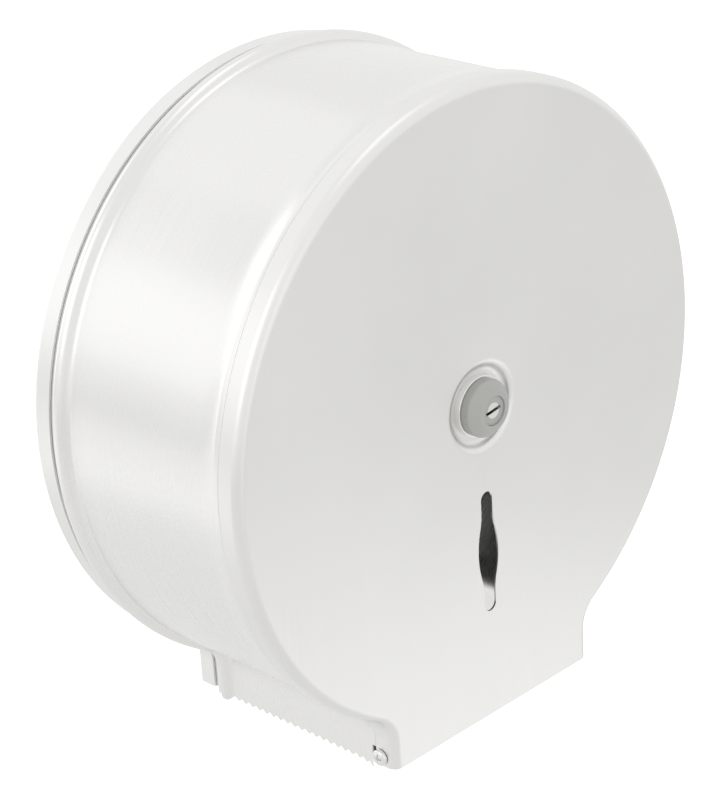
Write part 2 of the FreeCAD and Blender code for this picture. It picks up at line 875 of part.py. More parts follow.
def make_foot_rivets():
    """Round-headed rivets through the foot and the pan, as separate solids."""
    body = new_body("foot_rivets")
    rear = emboss_back - s.rivet_rear_head
    front = foot_front + s.rivet_front_head
    wide = rivet_circle + s.rivet_head_radius
    shank = rivet_circle + s.rivet_radius
    crown = wide - s.rivet_round
    sketch = new_sketch(body, "profile", "XY_Plane")
    trace(sketch, [
        at(rivet_circle, rear),
        at(wide, rear),
        at(wide, emboss_back),
        at(shank, emboss_back),
        at(shank, foot_front),
        at(wide, foot_front),
        at(wide, front - s.rivet_round, s.rivet_round, -1),
        at(crown, front),
        at(rivet_circle, front),
    ])
    axis = Part.LineSegment(at(rivet_circle, rear).point(), at(rivet_circle, front).point())
    geometry = sketch.addGeometry(axis, True)
    hold_point(sketch, geometry, 1, rivet_circle, -rear)
    hold_point(sketch, geometry, 2, rivet_circle, -front)
    rivet = turn(body, sketch, "Axis0")
    repeat_round(body, [rivet])
    return body


def make_spindle_tube():
    """The tube that stands on the pan's raised centre and carries the sleeve."""
    body = turned_body("spindle_tube", ring_steps(tube_bore, s.tube_radius,
                                                  emboss_front, tube_front))
    pin_holes(body)
    return body


def pin_holes(body):
    sketch = new_sketch(body, "pin_hole", "YZ_Plane")
    ring(sketch, -pin_depth, NIL, s.pin_radius + s.seat_gap)
    pocket(body, sketch, (s.tube_radius + s.overrun) * TWO, both_ways=True)


def make_hub_washer():
    """Thrust washer between the foot and the turning sleeve."""
    bore = s.tube_radius + s.seat_gap
    return turned_body("hub_washer", ring_steps(bore, washer_radius, foot_front, washer_front))


def make_strike_cap():
    """Cap on the spindle's end; the cam bar goes in through its slot and turns."""
    spigot_rear = tube_front - s.spigot_length
    body = turned_body("strike_cap", [
        at(NIL, tube_front),
        at(spigot_bore, tube_front),
        at(spigot_bore, spigot_rear),
        at(spigot_radius, spigot_rear),
        at(spigot_radius, tube_front),
        at(cap_radius, tube_front),
        at(cap_radius, cap_front),
        at(NIL, cap_front),
    ])
    round_edges(body, "rim", s.cap_round,
                lambda edge: at_depth(edge, cap_front))
    sketch = new_sketch(body, "strike", "XZ_Plane", cap_front)
    trace(sketch, box_steps(s.strike_long * HALF, s.strike_high * HALF))
    pocket(body, sketch, s.cap_thick + s.overrun)
    pin_holes(body)
    return body


def make_cap_pins():
    """Two cross pins that hold the cap's spigot in the tube."""
    body = new_body("cap_pins")
    sketch = new_sketch(body, "pin", "YZ_Plane", spigot_bore)
    ring(sketch, -pin_depth, NIL, s.pin_radius)
    pin = pad(body, sketch, s.tube_radius - s.seat_gap - spigot_bore)
    mirrored = body.newObject("PartDesign::Mirrored", "cap_pins_pair")
    mirrored.Originals = [pin]
    mirrored.MirrorPlane = (origin_item(body, "YZ_Plane"), [""])
    body.Tip = mirrored
    return body


def make_roll_hub():
    """Plastic sleeve that the paper roll's core sits on; it spins on the tube."""
    outer = hub_bore + s.hub_wall
    flange_front = hub_rear + s.hub_flange_thick
    return turned_body("roll_hub", [
        at(hub_bore, hub_rear),
        at(s.hub_flange_radius, hub_rear),
        at(s.hub_flange_radius, flange_front),
        at(outer, flange_front),
        at(outer, hub_front - s.hub_nose_chamfer),
        at(outer - s.hub_nose_chamfer, hub_front),
        at(hub_bore, hub_front),
    ])


def make_lock_housing():
    """Grey lock case: boss in front of the dish and barrel through the door."""
    body = turned_body("lock_housing", [
        at(collar_bore, barrel_rear),
        at(s.barrel_radius, barrel_rear),
        at(s.barrel_radius, bezel_front),
        at(s.boss_radius, bezel_front),
        at(s.boss_radius, boss_front - s.boss_chamfer),
        at(s.boss_radius - s.boss_chamfer, boss_front),
        at(plug_bore, boss_front),
        at(plug_bore, collar_seat),
        at(collar_bore, collar_seat),
    ])
    chamfer_rear = boss_front - s.boss_chamfer
    crown = s.boss_radius - s.boss_chamfer
    round_edges(body, "shoulder", s.boss_round,
                lambda edge: at_depth(edge, chamfer_rear)
                or at_depth(edge, boss_front) and edge.BoundBox.XMax > crown.value - s.turn_gap.value)
    return body


def make_lock_bezel():
    """Bright ring on the dish's floor, round the barrel and under the boss."""
    inner = s.barrel_radius + s.seat_gap
    body = turned_body("lock_bezel", ring_steps(inner, s.bezel_radius, dish_floor, bezel_front))
    round_edges(body, "rim", s.bezel_round,
                lambda edge: at_depth(edge, bezel_front)
                and edge.BoundBox.XMax > s.boss_radius.value)
    return body


def make_lock_nut():
    """Hexagon nut on the barrel, tight against the back of the dish."""
    body = new_body("lock_nut")
    flat = s.lock_nut_across * HALF
    point = s.lock_nut_across / root(THREE)
    half_point = point * HALF
    sketch = new_sketch(body, "hexagon", "XZ_Plane", dish_back - s.lock_nut_thick)
    trace(sketch, [
        Step(point, NIL),
        Step(half_point, flat),
        Step(-half_point, flat),
        Step(-point, NIL),
        Step(-half_point, -flat),
        Step(half_point, -flat),
    ])
    ring(sketch, NIL, NIL, s.barrel_radius + s.seat_gap)
    pad(body, sketch, s.lock_nut_thick)
    return body


def make_lock_clip():
    """Ring pressed into the barrel's rear end, which keeps the plug in."""
    return turned_body("lock_clip", ring_steps(plug_bore, collar_bore - s.seat_gap,
                                               clip_rear, clip_front))


def key_cut(body, length):
    """The keyway, cut from the front into whatever piece lies there."""
    sketch = new_sketch(body, "keyway", "XZ_Plane", plug_front)
    sketch.setExpression("AttachmentOffset.Rotation.Angle", f"{s.key_tilt.text} * 1 deg")
    trace(sketch, box_steps(s.key_long * HALF, s.key_wide * HALF))
    pocket(body, sketch, length)


def make_key_plug():
    """Grey plug with a collar; the key turns it and the cam bar together."""
    core_seat = plug_front - s.core_length
    screw_hole = s.cam_screw_radius + s.seat_gap
    body = turned_body("key_plug", [
        at(screw_hole, plug_rear),
        at(s.plug_radius, plug_rear),
        at(s.plug_radius, collar_rear),
        at(s.collar_radius, collar_rear),
        at(s.collar_radius, collar_front),
        at(s.plug_radius, collar_front),
        at(s.plug_radius, plug_front),
        at(s.core_radius + s.seat_gap, plug_front),
        at(s.core_radius + s.seat_gap, core_seat),
        at(NIL, core_seat),
        at(NIL, plug_rear + s.cam_screw_grip + s.seat_gap),
        at(screw_hole, plug_rear + s.cam_screw_grip + s.seat_gap),
    ])
    key_cut(body, s.key_deep)
    return body


def make_key_core():
    """Plated core at the centre of the plug, with the keyway across it."""
    body = turned_body("key_core", [
        at(NIL, plug_front - s.core_length),
        at(s.core_radius, plug_front - s.core_length),
        at(s.core_radius, plug_front),
        at(NIL, plug_front),
    ])
    key_cut(body, s.key_deep)
    return body


def make_lock_cam():
    """T-shaped cam: a stem behind the plug, and the bar behind the strike cap."""
    body = turned_body("lock_cam", ring_steps(s.cam_screw_radius + s.seat_gap, s.stem_radius,
                                              cam_rear, plug_rear))
    sketch = new_sketch(body, "bar", "XZ_Plane", cam_rear)
    trace(sketch, box_steps(s.cam_half_long, s.cam_half_high))
    ring(sketch, NIL, NIL, s.cam_screw_radius + s.seat_gap)
    pad(body, sketch, s.cam_thick)
    return body


def make_cam_screw():
    """Screw from behind the cam bar, through the stem and into the plug."""
    head_rear = cam_rear - s.cam_screw_head_height
    body = turned_body("cam_screw", [
        at(NIL, head_rear),
        at(s.cam_screw_head_radius, head_rear),
        at(s.cam_screw_head_radius, cam_rear),
        at(s.cam_screw_radius, cam_rear),
        at(s.cam_screw_radius, plug_rear + s.cam_screw_grip),
        at(NIL, plug_rear + s.cam_screw_grip),
    ])
    sketch = new_sketch(body, "recess", "XZ_Plane", head_rear)
    trace(sketch, cross_steps(s.cam_recess_half_span, s.cam_recess_half_width))
    pocket(body, sketch, s.cam_recess_deep, forward=True)
    return body


def make_all():
    bodies = [
        make_back_plate(),
        make_drum_wall(),
        make_spindle_foot(),
        make_foot_rivets(),
        make_spindle_tube(),
        make_hub_washer(),
        make_strike_cap(),
        make_cap_pins(),
        make_roll_hub(),
        make_front_plate(),
        make_lock_housing(),
        make_lock_bezel(),
        make_lock_nut(),
        make_lock_clip(),
        make_key_plug(),
        make_key_core(),
        make_lock_cam(),
        make_cam_screw(),
    ]
    for side, mirror in (("left", -1), ("right", 1)):
        bodies.append(make_hinge_screw(side, mirror))
        bodies.append(make_hinge_nut(side, mirror))
        bodies.append(make_hinge_ear(side, mirror))
    return bodies


def check(bodies):
    """Stop on a failed object, on a cut that removes nothing, or on a bad shape."""
    for item in doc.Objects:
        if "Invalid" in item.State or "Error" in item.State:
            raise RuntimeError(f"{item.Name} failed: {item.State}")
        if item.TypeId == "PartDesign::Pocket":
            if item.Shape.Volume >= item.BaseFeature.Shape.Volume:
                raise RuntimeError(f"{item.Name} cuts nothing")
    for body in bodies:
        if body.Shape.isNull() or not body.Shape.isValid():
            raise RuntimeError(f"{body.Label} has no valid shape")
        if not body.Shape.Solids:
            raise RuntimeError(f"{body.Label} holds no solid")


bodies = make_all()
doc.recompute()
check(bodies)
os.makedirs("parts", exist_ok=True)
for body in bodies:
    body.Shape.exportStep(f"parts/{body.Label}.step")
    box = body.Shape.BoundBox
    print(f"{body.Label}: {len(body.Shape.Solids)} solid(s), "
          f"{body.Shape.Volume / 1000:.2f} cm3, "
          f"{box.XLength:.1f} x {box.YLength:.1f} x {box.ZLength:.1f} mm")
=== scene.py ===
# %% [markdown]
# # A jumbo toilet roll dispenser in satin steel
# The dispenser is bent and pressed from thin stainless sheet: a pan against the
# wall, a drum that carries a round bead, a door whose skirt meets the drum's mouth,
# and a lock in the door's centre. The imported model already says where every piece
# is and how it moves. This lesson dresses it: smooth sheet surfaces worked out
# with numpy, satin steel made from nodes, and soft studio light.
#
# The first lines load that model as a fixed frame, in metres. +Z is up, the roll's
# axis runs along Y, the wall is Y = 0 and the front faces -Y.

# %% Load the frame
import json
import math

import bmesh
import bpy
import numpy as np
from mathutils import Matrix, Vector
from mathutils.geometry import delaunay_2d_cdt


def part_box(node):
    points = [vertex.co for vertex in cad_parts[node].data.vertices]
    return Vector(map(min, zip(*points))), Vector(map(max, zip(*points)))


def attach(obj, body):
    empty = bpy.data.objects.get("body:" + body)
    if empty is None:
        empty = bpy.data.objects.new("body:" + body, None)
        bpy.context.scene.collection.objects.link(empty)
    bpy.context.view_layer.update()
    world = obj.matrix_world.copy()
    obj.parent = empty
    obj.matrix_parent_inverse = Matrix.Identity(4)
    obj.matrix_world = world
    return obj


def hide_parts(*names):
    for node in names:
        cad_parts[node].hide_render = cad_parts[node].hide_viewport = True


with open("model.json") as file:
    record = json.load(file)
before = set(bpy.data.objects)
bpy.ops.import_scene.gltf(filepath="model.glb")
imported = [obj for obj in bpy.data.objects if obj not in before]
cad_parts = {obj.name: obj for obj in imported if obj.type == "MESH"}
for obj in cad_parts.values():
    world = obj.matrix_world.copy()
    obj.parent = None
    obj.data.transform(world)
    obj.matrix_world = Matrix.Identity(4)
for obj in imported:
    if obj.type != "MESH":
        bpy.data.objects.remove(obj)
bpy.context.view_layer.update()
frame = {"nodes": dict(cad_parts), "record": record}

MM = 0.001

# %% [markdown]
# ## The outline that three pieces share
# The pan, the drum and the door have one outline: a big circle that runs through a
# hollow neck into a short tab with straight sides. Each piece follows it at its own
# distance. Each could have a curve object of its own, but offsets of a line and of
# an arc are parallel, so one row of points with one outward direction each is
# enough: a piece is the row pushed out by any amount. The sizes come from the
# frame's boxes, and the few that no box shows are named. A depth counts forward
# from the wall, a drop down from the axis, and an out from the drum's plain wall.

# %% The outline's sizes
sheet = 0.8 * MM
bead_rise = 3.5 * MM
tab_half = 59.5 * MM
neck_radius = 16.0 * MM
hinge_rise = 4.4 * MM

drum_low, drum_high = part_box("drum_wall")
door_low, door_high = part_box("front_plate")
drum_radius = drum_high.z - bead_rise
tab_bottom = -door_low.z
tooth_drop = -drum_low.z
mouth_depth = -drum_low.y
door_face = -door_low.y
door_rear = -door_high.y
hinge_drop = tab_bottom - hinge_rise

neck_across = tab_half + neck_radius
neck_drop = math.sqrt((drum_radius + neck_radius) ** 2 - neck_across ** 2)
neck_angle = math.atan2(neck_drop, neck_across)
print(f"drum radius {drum_radius / MM:.2f} mm, necks {neck_drop / MM:.2f} mm below the axis")

# %% [markdown]
# The row starts at the foot of the right side and runs anticlockwise, as seen from
# the front. Below the necks, a point also has a share from 0 to 1 that says how far
# it goes down to the foot, because each piece ends at its own height there. Only
# the right half is worked out, and its mirror image follows without the top point.

# %% The row of points round the outline
SIDE_ROWS = 4
NECK_ROWS = 14
ROUND_ROWS = 200


def outline_row():
    """Points, outward directions and foot shares, from the right foot to the left.

    On the circle a point is radius * direction. On a neck the outward direction
    looks at the neck's centre, and the point is centre - neck radius * direction.
    """
    foot = np.linspace(1, 0, SIDE_ROWS, endpoint=False)
    side = np.tile((tab_half, -neck_drop), (SIDE_ROWS, 1))
    side_way = np.tile((1.0, 0.0), (SIDE_ROWS, 1))
    turn = np.linspace(0, -neck_angle, NECK_ROWS, endpoint=False)
    neck_way = np.stack((np.cos(turn), np.sin(turn)), 1)
    neck = np.array((neck_across, -neck_drop)) - neck_radius * neck_way
    turn = np.linspace(-neck_angle, math.pi / 2, ROUND_ROWS // 2 + 1)
    round_way = np.stack((np.cos(turn), np.sin(turn)), 1)
    point = np.concatenate((side, neck, drum_radius * round_way))
    way = np.concatenate((side_way, neck_way, round_way))
    share = np.concatenate((foot, np.zeros(len(point) - SIDE_ROWS)))
    mirror = np.array((-1.0, 1.0))
    return (np.concatenate((point, point[-2::-1] * mirror)),
            np.concatenate((way, way[-2::-1] * mirror)),
            np.concatenate((share, share[-2::-1])))


row_point, row_way, row_share = outline_row()
step = np.diff(row_point, axis=0)
foot_step = np.diff(row_share) * (tab_bottom - neck_drop)
row_length = np.concatenate(([0.0], np.cumsum(np.hypot(step[:, 0], step[:, 1] + foot_step))))
print("points round the outline:", len(row_point), f"over {row_length[-1] / MM:.0f} mm")

# %% [markdown]
# ## From numbers to meshes
# Every new piece is a grid of points: one parameter runs along the outline or round
# an axis, the other along a section. Four helpers make such grids: equal angles
# round a circle, the arc of a bend, the four-sided faces of a grid, and a section
# carried round the outline. A sculpted or subdivided mesh only comes near a radius.
# Arrays worked out in one go are quick, and every bend has just the radius it says.

# %% Angles, arcs, grids and carried sections
def full_turn(count):
    """Equal angles once round a circle: item * 2 pi / count."""
    return np.linspace(0, 2 * math.pi, count, endpoint=False)


def arc(first, last, radius, turn, count):
    """Points on the arc of that radius from first to last, ends included.

    Its centre lies left of the way from first to last where turn is 1 and right
    where it is -1, and the points sweep equal angles about it.
    """
    first = np.array(first, float)
    last = np.array(last, float)
    chord = last - first
    half = np.hypot(*chord) / 2
    reach = math.sqrt(max(radius ** 2 - half ** 2, 0.0))
    left = np.array((-chord[1], chord[0])) * (turn / (2 * half))
    centre = (first + last) / 2 + left * reach
    start = math.atan2(*(first - centre)[::-1])
    stop = math.atan2(*(last - centre)[::-1])
    sweep = (stop - start + math.pi) % (2 * math.pi) - math.pi
    angle = start + sweep * np.linspace(0, 1, count)
    return centre + radius * np.stack((np.cos(angle), np.sin(angle)), 1)


def grid_faces(rows, columns, first=0, closed_rows=False, closed_columns=False):
    """Four-sided faces of a grid of points stored row by row from index first.

    Each face joins a point, the one below it and their neighbours to the right. A
    closed grid repeats its first row or column after its last.
    """
    index = first + np.arange(rows * columns).reshape(rows, columns)
    if closed_rows:
        index = np.concatenate((index, index[:1]))
    if closed_columns:
        index = np.concatenate((index, index[:, :1]), 1)
    faces = np.stack((index[:-1, :-1], index[1:, :-1], index[1:, 1:], index[:-1, 1:]), -1)
    return faces.reshape(-1, 4)


def carry(out, depth, foot):
    """Points of a section carried round the outline.

    Point = outline point + out * outward direction, at Y = -depth. Below the necks
    it is lowered by its foot share of the way down to the column's own foot.
    """
    across = row_point[:, :1] + row_way[:, :1] * out
    up = row_point[:, 1:] + row_way[:, 1:] * out - row_share[:, None] * (foot - neck_drop)
    return np.stack((across, np.broadcast_to(-depth, across.shape), up), -1)


print("a grid of 3 by 4 points has", len(grid_faces(3, 4)), "faces")

# %% [markdown]
# Real sheet is one skin with a gauge. Both its sides could be modelled, but then
# every hole and every edge would need a wall of its own. A Solidify modifier gives
# the skin its thickness to the inside and closes all edges at once, and it is
# applied here, so that later steps see the real mesh. Points that meet are welded,
# faces are turned outwards, and bends sharper than 35 degrees stay crisp. Three
# calls then say which body the piece rides on, which material slot it takes its
# finish from, and which CAD node it stands for.

# %% Make an object from points and faces
SHARP = math.radians(35)
WELD = MM / 10000
PER_CUBIC_CM = 1e6
made_pieces = []


def build(name, points, faces, body, slot, replaced, thickness=None, uv=None):
    """Make the object, thicken it where it is sheet, and say what it stands for."""
    mesh = bpy.data.meshes.new(name)
    mesh.from_pydata(np.asarray(points).reshape(-1, 3).tolist(), [],
                     faces.tolist() if isinstance(faces, np.ndarray) else faces)
    if uv is not None:
        layer = mesh.uv_layers.new(name="sheet")
        corner = np.zeros(len(mesh.loops), np.int32)
        mesh.loops.foreach_get("vertex_index", corner)
        layer.data.foreach_set("uv", np.asarray(uv, np.float32)[corner].ravel())
    piece = bpy.data.objects.new(name, mesh)
    bpy.context.scene.collection.objects.link(piece)
    if thickness:
        gauge = piece.modifiers.new("gauge", "SOLIDIFY")
        gauge.thickness = thickness
        gauge.offset = -1
        gauge.use_even_offset = True
        gauge.use_quality_normals = True
        shaped = piece.evaluated_get(bpy.context.evaluated_depsgraph_get())
        piece.data = bpy.data.meshes.new_from_object(shaped)
        piece.modifiers.clear()
    shell = bmesh.new()
    shell.from_mesh(piece.data)
    bmesh.ops.remove_doubles(shell, verts=shell.verts, dist=WELD)
    open_edges = sum(1 for edge in shell.edges if not edge.is_manifold)
    volume = shell.calc_volume(signed=True)
    if volume < 0:
        bmesh.ops.reverse_faces(shell, faces=shell.faces)
    shell.to_mesh(piece.data)
    shell.free()
    piece.data.shade_smooth()
    piece.data.set_sharp_from_angle(angle=SHARP)
    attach(piece, body)
    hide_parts(*replaced)
    made_pieces.append((piece, slot))
    print(f"{name}: {len(piece.data.polygons)} faces, {open_edges} open edges, "
          f"{abs(volume) * PER_CUBIC_CM:.2f} cm3")
    return piece


print(f"edges above {math.degrees(SHARP):.0f} degrees stay sharp")

# %% [markdown]
# ## The drum
# The drum is one strip of sheet: a tail inside the pan's rim, a rolled bead that
# stiffens it, a plain wall, a flare that widens to a crease, and a narrow lip at
# the mouth. Its bends could be bevels of a coarse section, but here they are
# circles that touch. Two circles that touch have their centres a sum of radii
# apart, which gives the places where the bead meets its two feet.

# %% Where the drum's bends begin and end
pan_out = 1.3 * MM
pan_sheet = 1.0 * MM
tail_gap = 0.1 * MM
tail_out = pan_out - pan_sheet - tail_gap
tail_start = 3.0 * MM
bead_depth = 16.0 * MM
bead_radius = 4.0 * MM
bead_rear_foot = 0.6 * MM
bead_front_foot = 3.8 * MM
flare_start = 95.0 * MM
crease_depth = 105.4 * MM
crease_out = 1.4 * MM
mouth_out = 1.6 * MM
edge_turn = 0.25 * MM

bead_out = bead_rise - bead_radius
rear_across = tail_out + bead_rear_foot - bead_out
rear_along = math.sqrt((bead_radius + bead_rear_foot) ** 2 - rear_across ** 2)
front_across = bead_front_foot - bead_out
front_along = math.sqrt((bead_radius + bead_front_foot) ** 2 - front_across ** 2)
rear_foot = bead_depth - rear_along
front_foot = bead_depth + front_along
rear_share = bead_radius / (bead_radius + bead_rear_foot)
front_share = bead_radius / (bead_radius + bead_front_foot)
rear_join = bead_depth - rear_along * rear_share
front_join = bead_depth + front_along * front_share
flare_run = crease_depth - flare_start
flare_radius = (flare_run ** 2 + crease_out ** 2) / (2 * crease_out)
print(f"bead from {rear_foot / MM:.2f} to {front_foot / MM:.2f} mm, "
      f"flare radius {flare_radius / MM:.1f} mm")

# %% [markdown]
# The skin could be a profile swept along a path. But all of it grows in one
# direction, from the wall to the front, so it can be a function: how far out the
# skin lies at each depth. Its arcs stay round, and every column of points lies at
# a known depth, which the teeth need.

# %% The drum's section
def drum_out(depth):
    """How far out the drum's skin lies at a depth.

    Flat parts are straight lines. The bead and its two feet are circles, so there
    out = centre +- sqrt(radius^2 - distance^2), and the flare is the last circle.
    The lip's very edge turns in by distance^2 / edge turn, as sheared sheet does.
    """
    def circle(middle, radius):
        """Half the width of a circle at a depth: sqrt(radius^2 - distance^2)."""
        return np.sqrt(np.maximum(radius ** 2 - (depth - middle) ** 2, 0))

    slope = (mouth_out - crease_out) / (mouth_depth - crease_depth)
    turned_in = np.clip(depth - mouth_depth + edge_turn, 0, edge_turn)
    return np.select(
        [depth < rear_foot, depth < rear_join, depth < front_join, depth < front_foot,
         depth < flare_start, depth < crease_depth],
        [np.full_like(depth, tail_out),
         tail_out + bead_rear_foot - circle(rear_foot, bead_rear_foot),
         bead_out + circle(bead_depth, bead_radius),
         bead_front_foot - circle(front_foot, bead_front_foot),
         np.zeros_like(depth),
         flare_radius - circle(flare_start, flare_radius)],
        crease_out + slope * (depth - crease_depth) - turned_in ** 2 / edge_turn)


crown_out, wall_out = drum_out(np.array((bead_depth, (front_foot + flare_start) / 2)))
print(f"the bead stands {(crown_out - wall_out) / MM:.2f} mm proud of the wall")

# %% [markdown]
# The strip's lower ends are cut on a press: a rounded heel, teeth that tear the
# paper, and a lip that is cut back above the hinge screws. Booleans could cut them,
# but they leave long thin faces that shade badly. Here the foot of each column is a
# second function of the depth, so the grid itself ends in teeth.

# %% The drum's feet: heel, teeth and the lip's end
heel_radius = 3.0 * MM
tooth_height = 1.6 * MM
tooth_tip = 0.4 * MM
tooth_count = 20
head_radius = 3.6 * MM
lip_drop = hinge_drop - head_radius
teeth_start = bead_depth + heel_radius
tooth_pitch = (crease_depth - teeth_start) / tooth_count


def drum_foot(depth):
    """How far below the axis each column of the drum ends.

    Between the heel and the crease each tooth is a saw of straight flanks: the foot
    rises by the tooth's height towards the middle of each pitch. The heel is a
    quarter circle, and the lip ends level with the top of the screw's head.
    """
    place = ((depth - teeth_start) / tooth_pitch) % 1.0
    flank = (1 - tooth_tip / tooth_pitch) / 2
    notch = np.clip(1 - np.abs(place - 0.5) / flank, 0, 1)
    heel = np.sqrt(np.maximum(heel_radius ** 2 - (teeth_start - depth) ** 2, 0))
    return np.select(
        [depth < bead_depth, depth < teeth_start, depth < crease_depth],
        [np.full_like(depth, tab_bottom),
         tooth_drop - heel_radius + heel,
         tooth_drop - tooth_height * notch],
        lip_drop)


print(f"{tooth_count} teeth, {tooth_pitch / MM:.2f} mm apart")

# %% [markdown]
# The columns stand close together in the bead and the flare. Along the plain wall
# only the teeth need them, three to each, at its valley and both ends of its tip.
# Where the foot jumps, two columns stand a hair apart. The depths are rounded, so
# that one named twice counts once. The lengths along the outline and along the
# section also make the UV map, in metres, for the grain of the steel.

# %% Carry the drum's section round the outline
BEAD_POINTS = 12
DEPTH_DIGITS = 7
hair = MM / 1000
pitches = teeth_start + tooth_pitch * np.arange(tooth_count)
in_tooth = np.array((tooth_tip / 2, tooth_pitch / 2, tooth_pitch - tooth_tip / 2))
quarter = np.sin(np.linspace(0, math.pi / 2, BEAD_POINTS))
drum_depth = np.unique(np.round(np.concatenate((
    np.linspace(tail_start, rear_foot, 3),
    rear_foot + (rear_join - rear_foot) * quarter,
    bead_depth - (bead_depth - rear_join) * quarter,
    bead_depth + (front_join - bead_depth) * quarter,
    (bead_depth - hair, bead_depth + hair),
    front_foot - (front_foot - front_join) * quarter,
    (teeth_start, flare_start),
    (pitches[:, None] + in_tooth).ravel(),
    (crease_depth - hair, crease_depth),
    np.linspace(flare_start, crease_depth, BEAD_POINTS)[:-1],
    np.linspace(crease_depth, mouth_depth - edge_turn, 4)[1:],
    (mouth_depth - edge_turn / 2, mouth_depth))), DEPTH_DIGITS))
drum_section = drum_out(drum_depth)
section_length = np.concatenate(([0.0], np.cumsum(np.hypot(np.diff(drum_depth),
                                                           np.diff(drum_section)))))
drum_uv = np.stack(np.meshgrid(row_length, section_length, indexing="ij"), -1).reshape(-1, 2)
build("drum_shell", carry(drum_section, drum_depth, drum_foot(drum_depth)),
      grid_faces(len(row_point), len(drum_depth)),
      "base", "drum_steel", ["drum_wall"], thickness=sheet, uv=drum_uv)

# %% [markdown]
# ## Two pressed trays: the door and the wall pan
# The door and the pan are the same kind of piece. A flat sheet is bent over at the
# rim into a short skirt, its centre is pressed in or out through an S-shaped ring,
# and holes are punched. Modelling them by extruding and bevelling would leave each
# radius to be found by eye, so the same helpers work both out from their sizes.
# First comes the pressed centre, as rings about the axis. A narrow flat ring beside
# each bend, the guard, keeps the shading of the flat sheet even.

# %% Rings about the axis and the pressed centre
RING_POINTS = 120
BEND_POINTS = 12
guard = 0.4 * MM


def turned_row(radius, depth):
    """Rings about the Y axis: radius * (cos angle, sin angle) at Y = -depth."""
    angle = full_turn(RING_POINTS)[:, None]
    return np.stack((radius * np.cos(angle),
                     np.broadcast_to(-depth, (RING_POINTS, len(radius))),
                     radius * np.sin(angle)), -1)


def pressing(rim, flat, bore, face, sink, gauge):
    """Section of a pressed centre, from its rim in to its bore, sink deep.

    Two circles that touch make the S. For a run and a drop their radii add up to
    (run^2 + drop^2) / (2 * drop), and they differ by the gauge of the sheet.
    """
    run = rim - flat
    both = (run ** 2 + sink ** 2) / (2 * abs(sink))
    near = (both + gauge) / 2
    share = near / both
    middle = (rim - run * share, face - sink * share)
    way = 1 if sink > 0 else -1
    first = arc((rim, face), middle, near, way, BEND_POINTS)
    second = arc(middle, (flat, face - sink), both - near, -way, BEND_POINTS)
    flat_run = np.array(((flat - guard, face - sink), (bore + guard, face - sink),
                         (bore, face - sink)))
    return np.concatenate((((rim + guard, face),), first, second[1:], flat_run))


print("points in a ring:", RING_POINTS)

# %% [markdown]
# The flat sheet between the rim, the pressed centre and the holes has no grid. One
# many-sided face, or a Boolean for each hole, would be quick but shades unevenly.
# Blender's Delaunay triangulation takes the loops as edges that it has to keep, and
# fills all within the outer one, with triangles as even as the points allow. Those
# in a hole are then found by the even-odd rule and left out.

# %% Fill a flat sheet round its holes
CDT_INSIDE = 1
CDT_NEAR = 1e-9


def inside(places, loop):
    """True for places within a loop: a ray to the right crosses it an odd number of times."""
    first = loop[None]
    second = np.roll(loop, -1, 0)[None]
    x, y = places[:, None, 0], places[:, None, 1]
    spans = (first[..., 1] > y) != (second[..., 1] > y)
    rise = np.where(spans, second[..., 1] - first[..., 1], 1)
    crossing = first[..., 0] + (second[..., 0] - first[..., 0]) * (y - first[..., 1]) / rise
    return (spans & (x < crossing)).sum(1) % 2 == 1


def fill(loops):
    """Triangles between an outer loop and the holes inside it, on a flat sheet.

    Each loop has its point numbers and their flat places. The triangles whose
    centre lies in a hole, or outside the outer loop, are left out. The answer is
    in the same numbers.
    """
    numbers = np.concatenate([loop for loop, _ in loops])
    flat = np.concatenate([places for _, places in loops])
    edges = []
    for loop, _ in loops:
        index = len(edges) + np.arange(len(loop))
        edges += np.stack((index, np.roll(index, -1)), 1).tolist()
    made = delaunay_2d_cdt([Vector(place) for place in flat.tolist()], edges, [],
                           CDT_INSIDE, CDT_NEAR)
    origin = np.array([source[0] for source in made[3]])
    faces = origin[np.array(made[2])]
    centre = flat[faces].mean(1)
    wanted = inside(centre, loops[0][1])
    for _, hole in loops[1:]:
        wanted &= ~inside(centre, hole)
    print(f"  flat sheet: {wanted.sum()} triangles, {len(loops) - 1} holes")
    return numbers[faces[wanted]]


square_loop = np.array(((0.0, 0.0), (1.0, 0.0), (1.0, 1.0), (0.0, 1.0)))
print("a place in a square and one beside it:",
      inside(np.array(((0.5, 0.5), (1.5, 0.5))), square_loop))

# %% [markdown]
# The door turns on the shanks of the two corner screws, so each side of its skirt
# has a round hole there. The skirt's cells beside the tab are taken out of the grid
# between its rear edge and its bend, and the filling above closes that flat side
# again round the hole. All triangles come out turned the same way, so those of the
# left side are turned over to face outwards.

# %% Skirt sides with their pivot holes
EDGE_COLUMNS = 2
HOLE_POINTS = 32
hinge_depth = 111.4 * MM
pivot_hole = 1.85 * MM


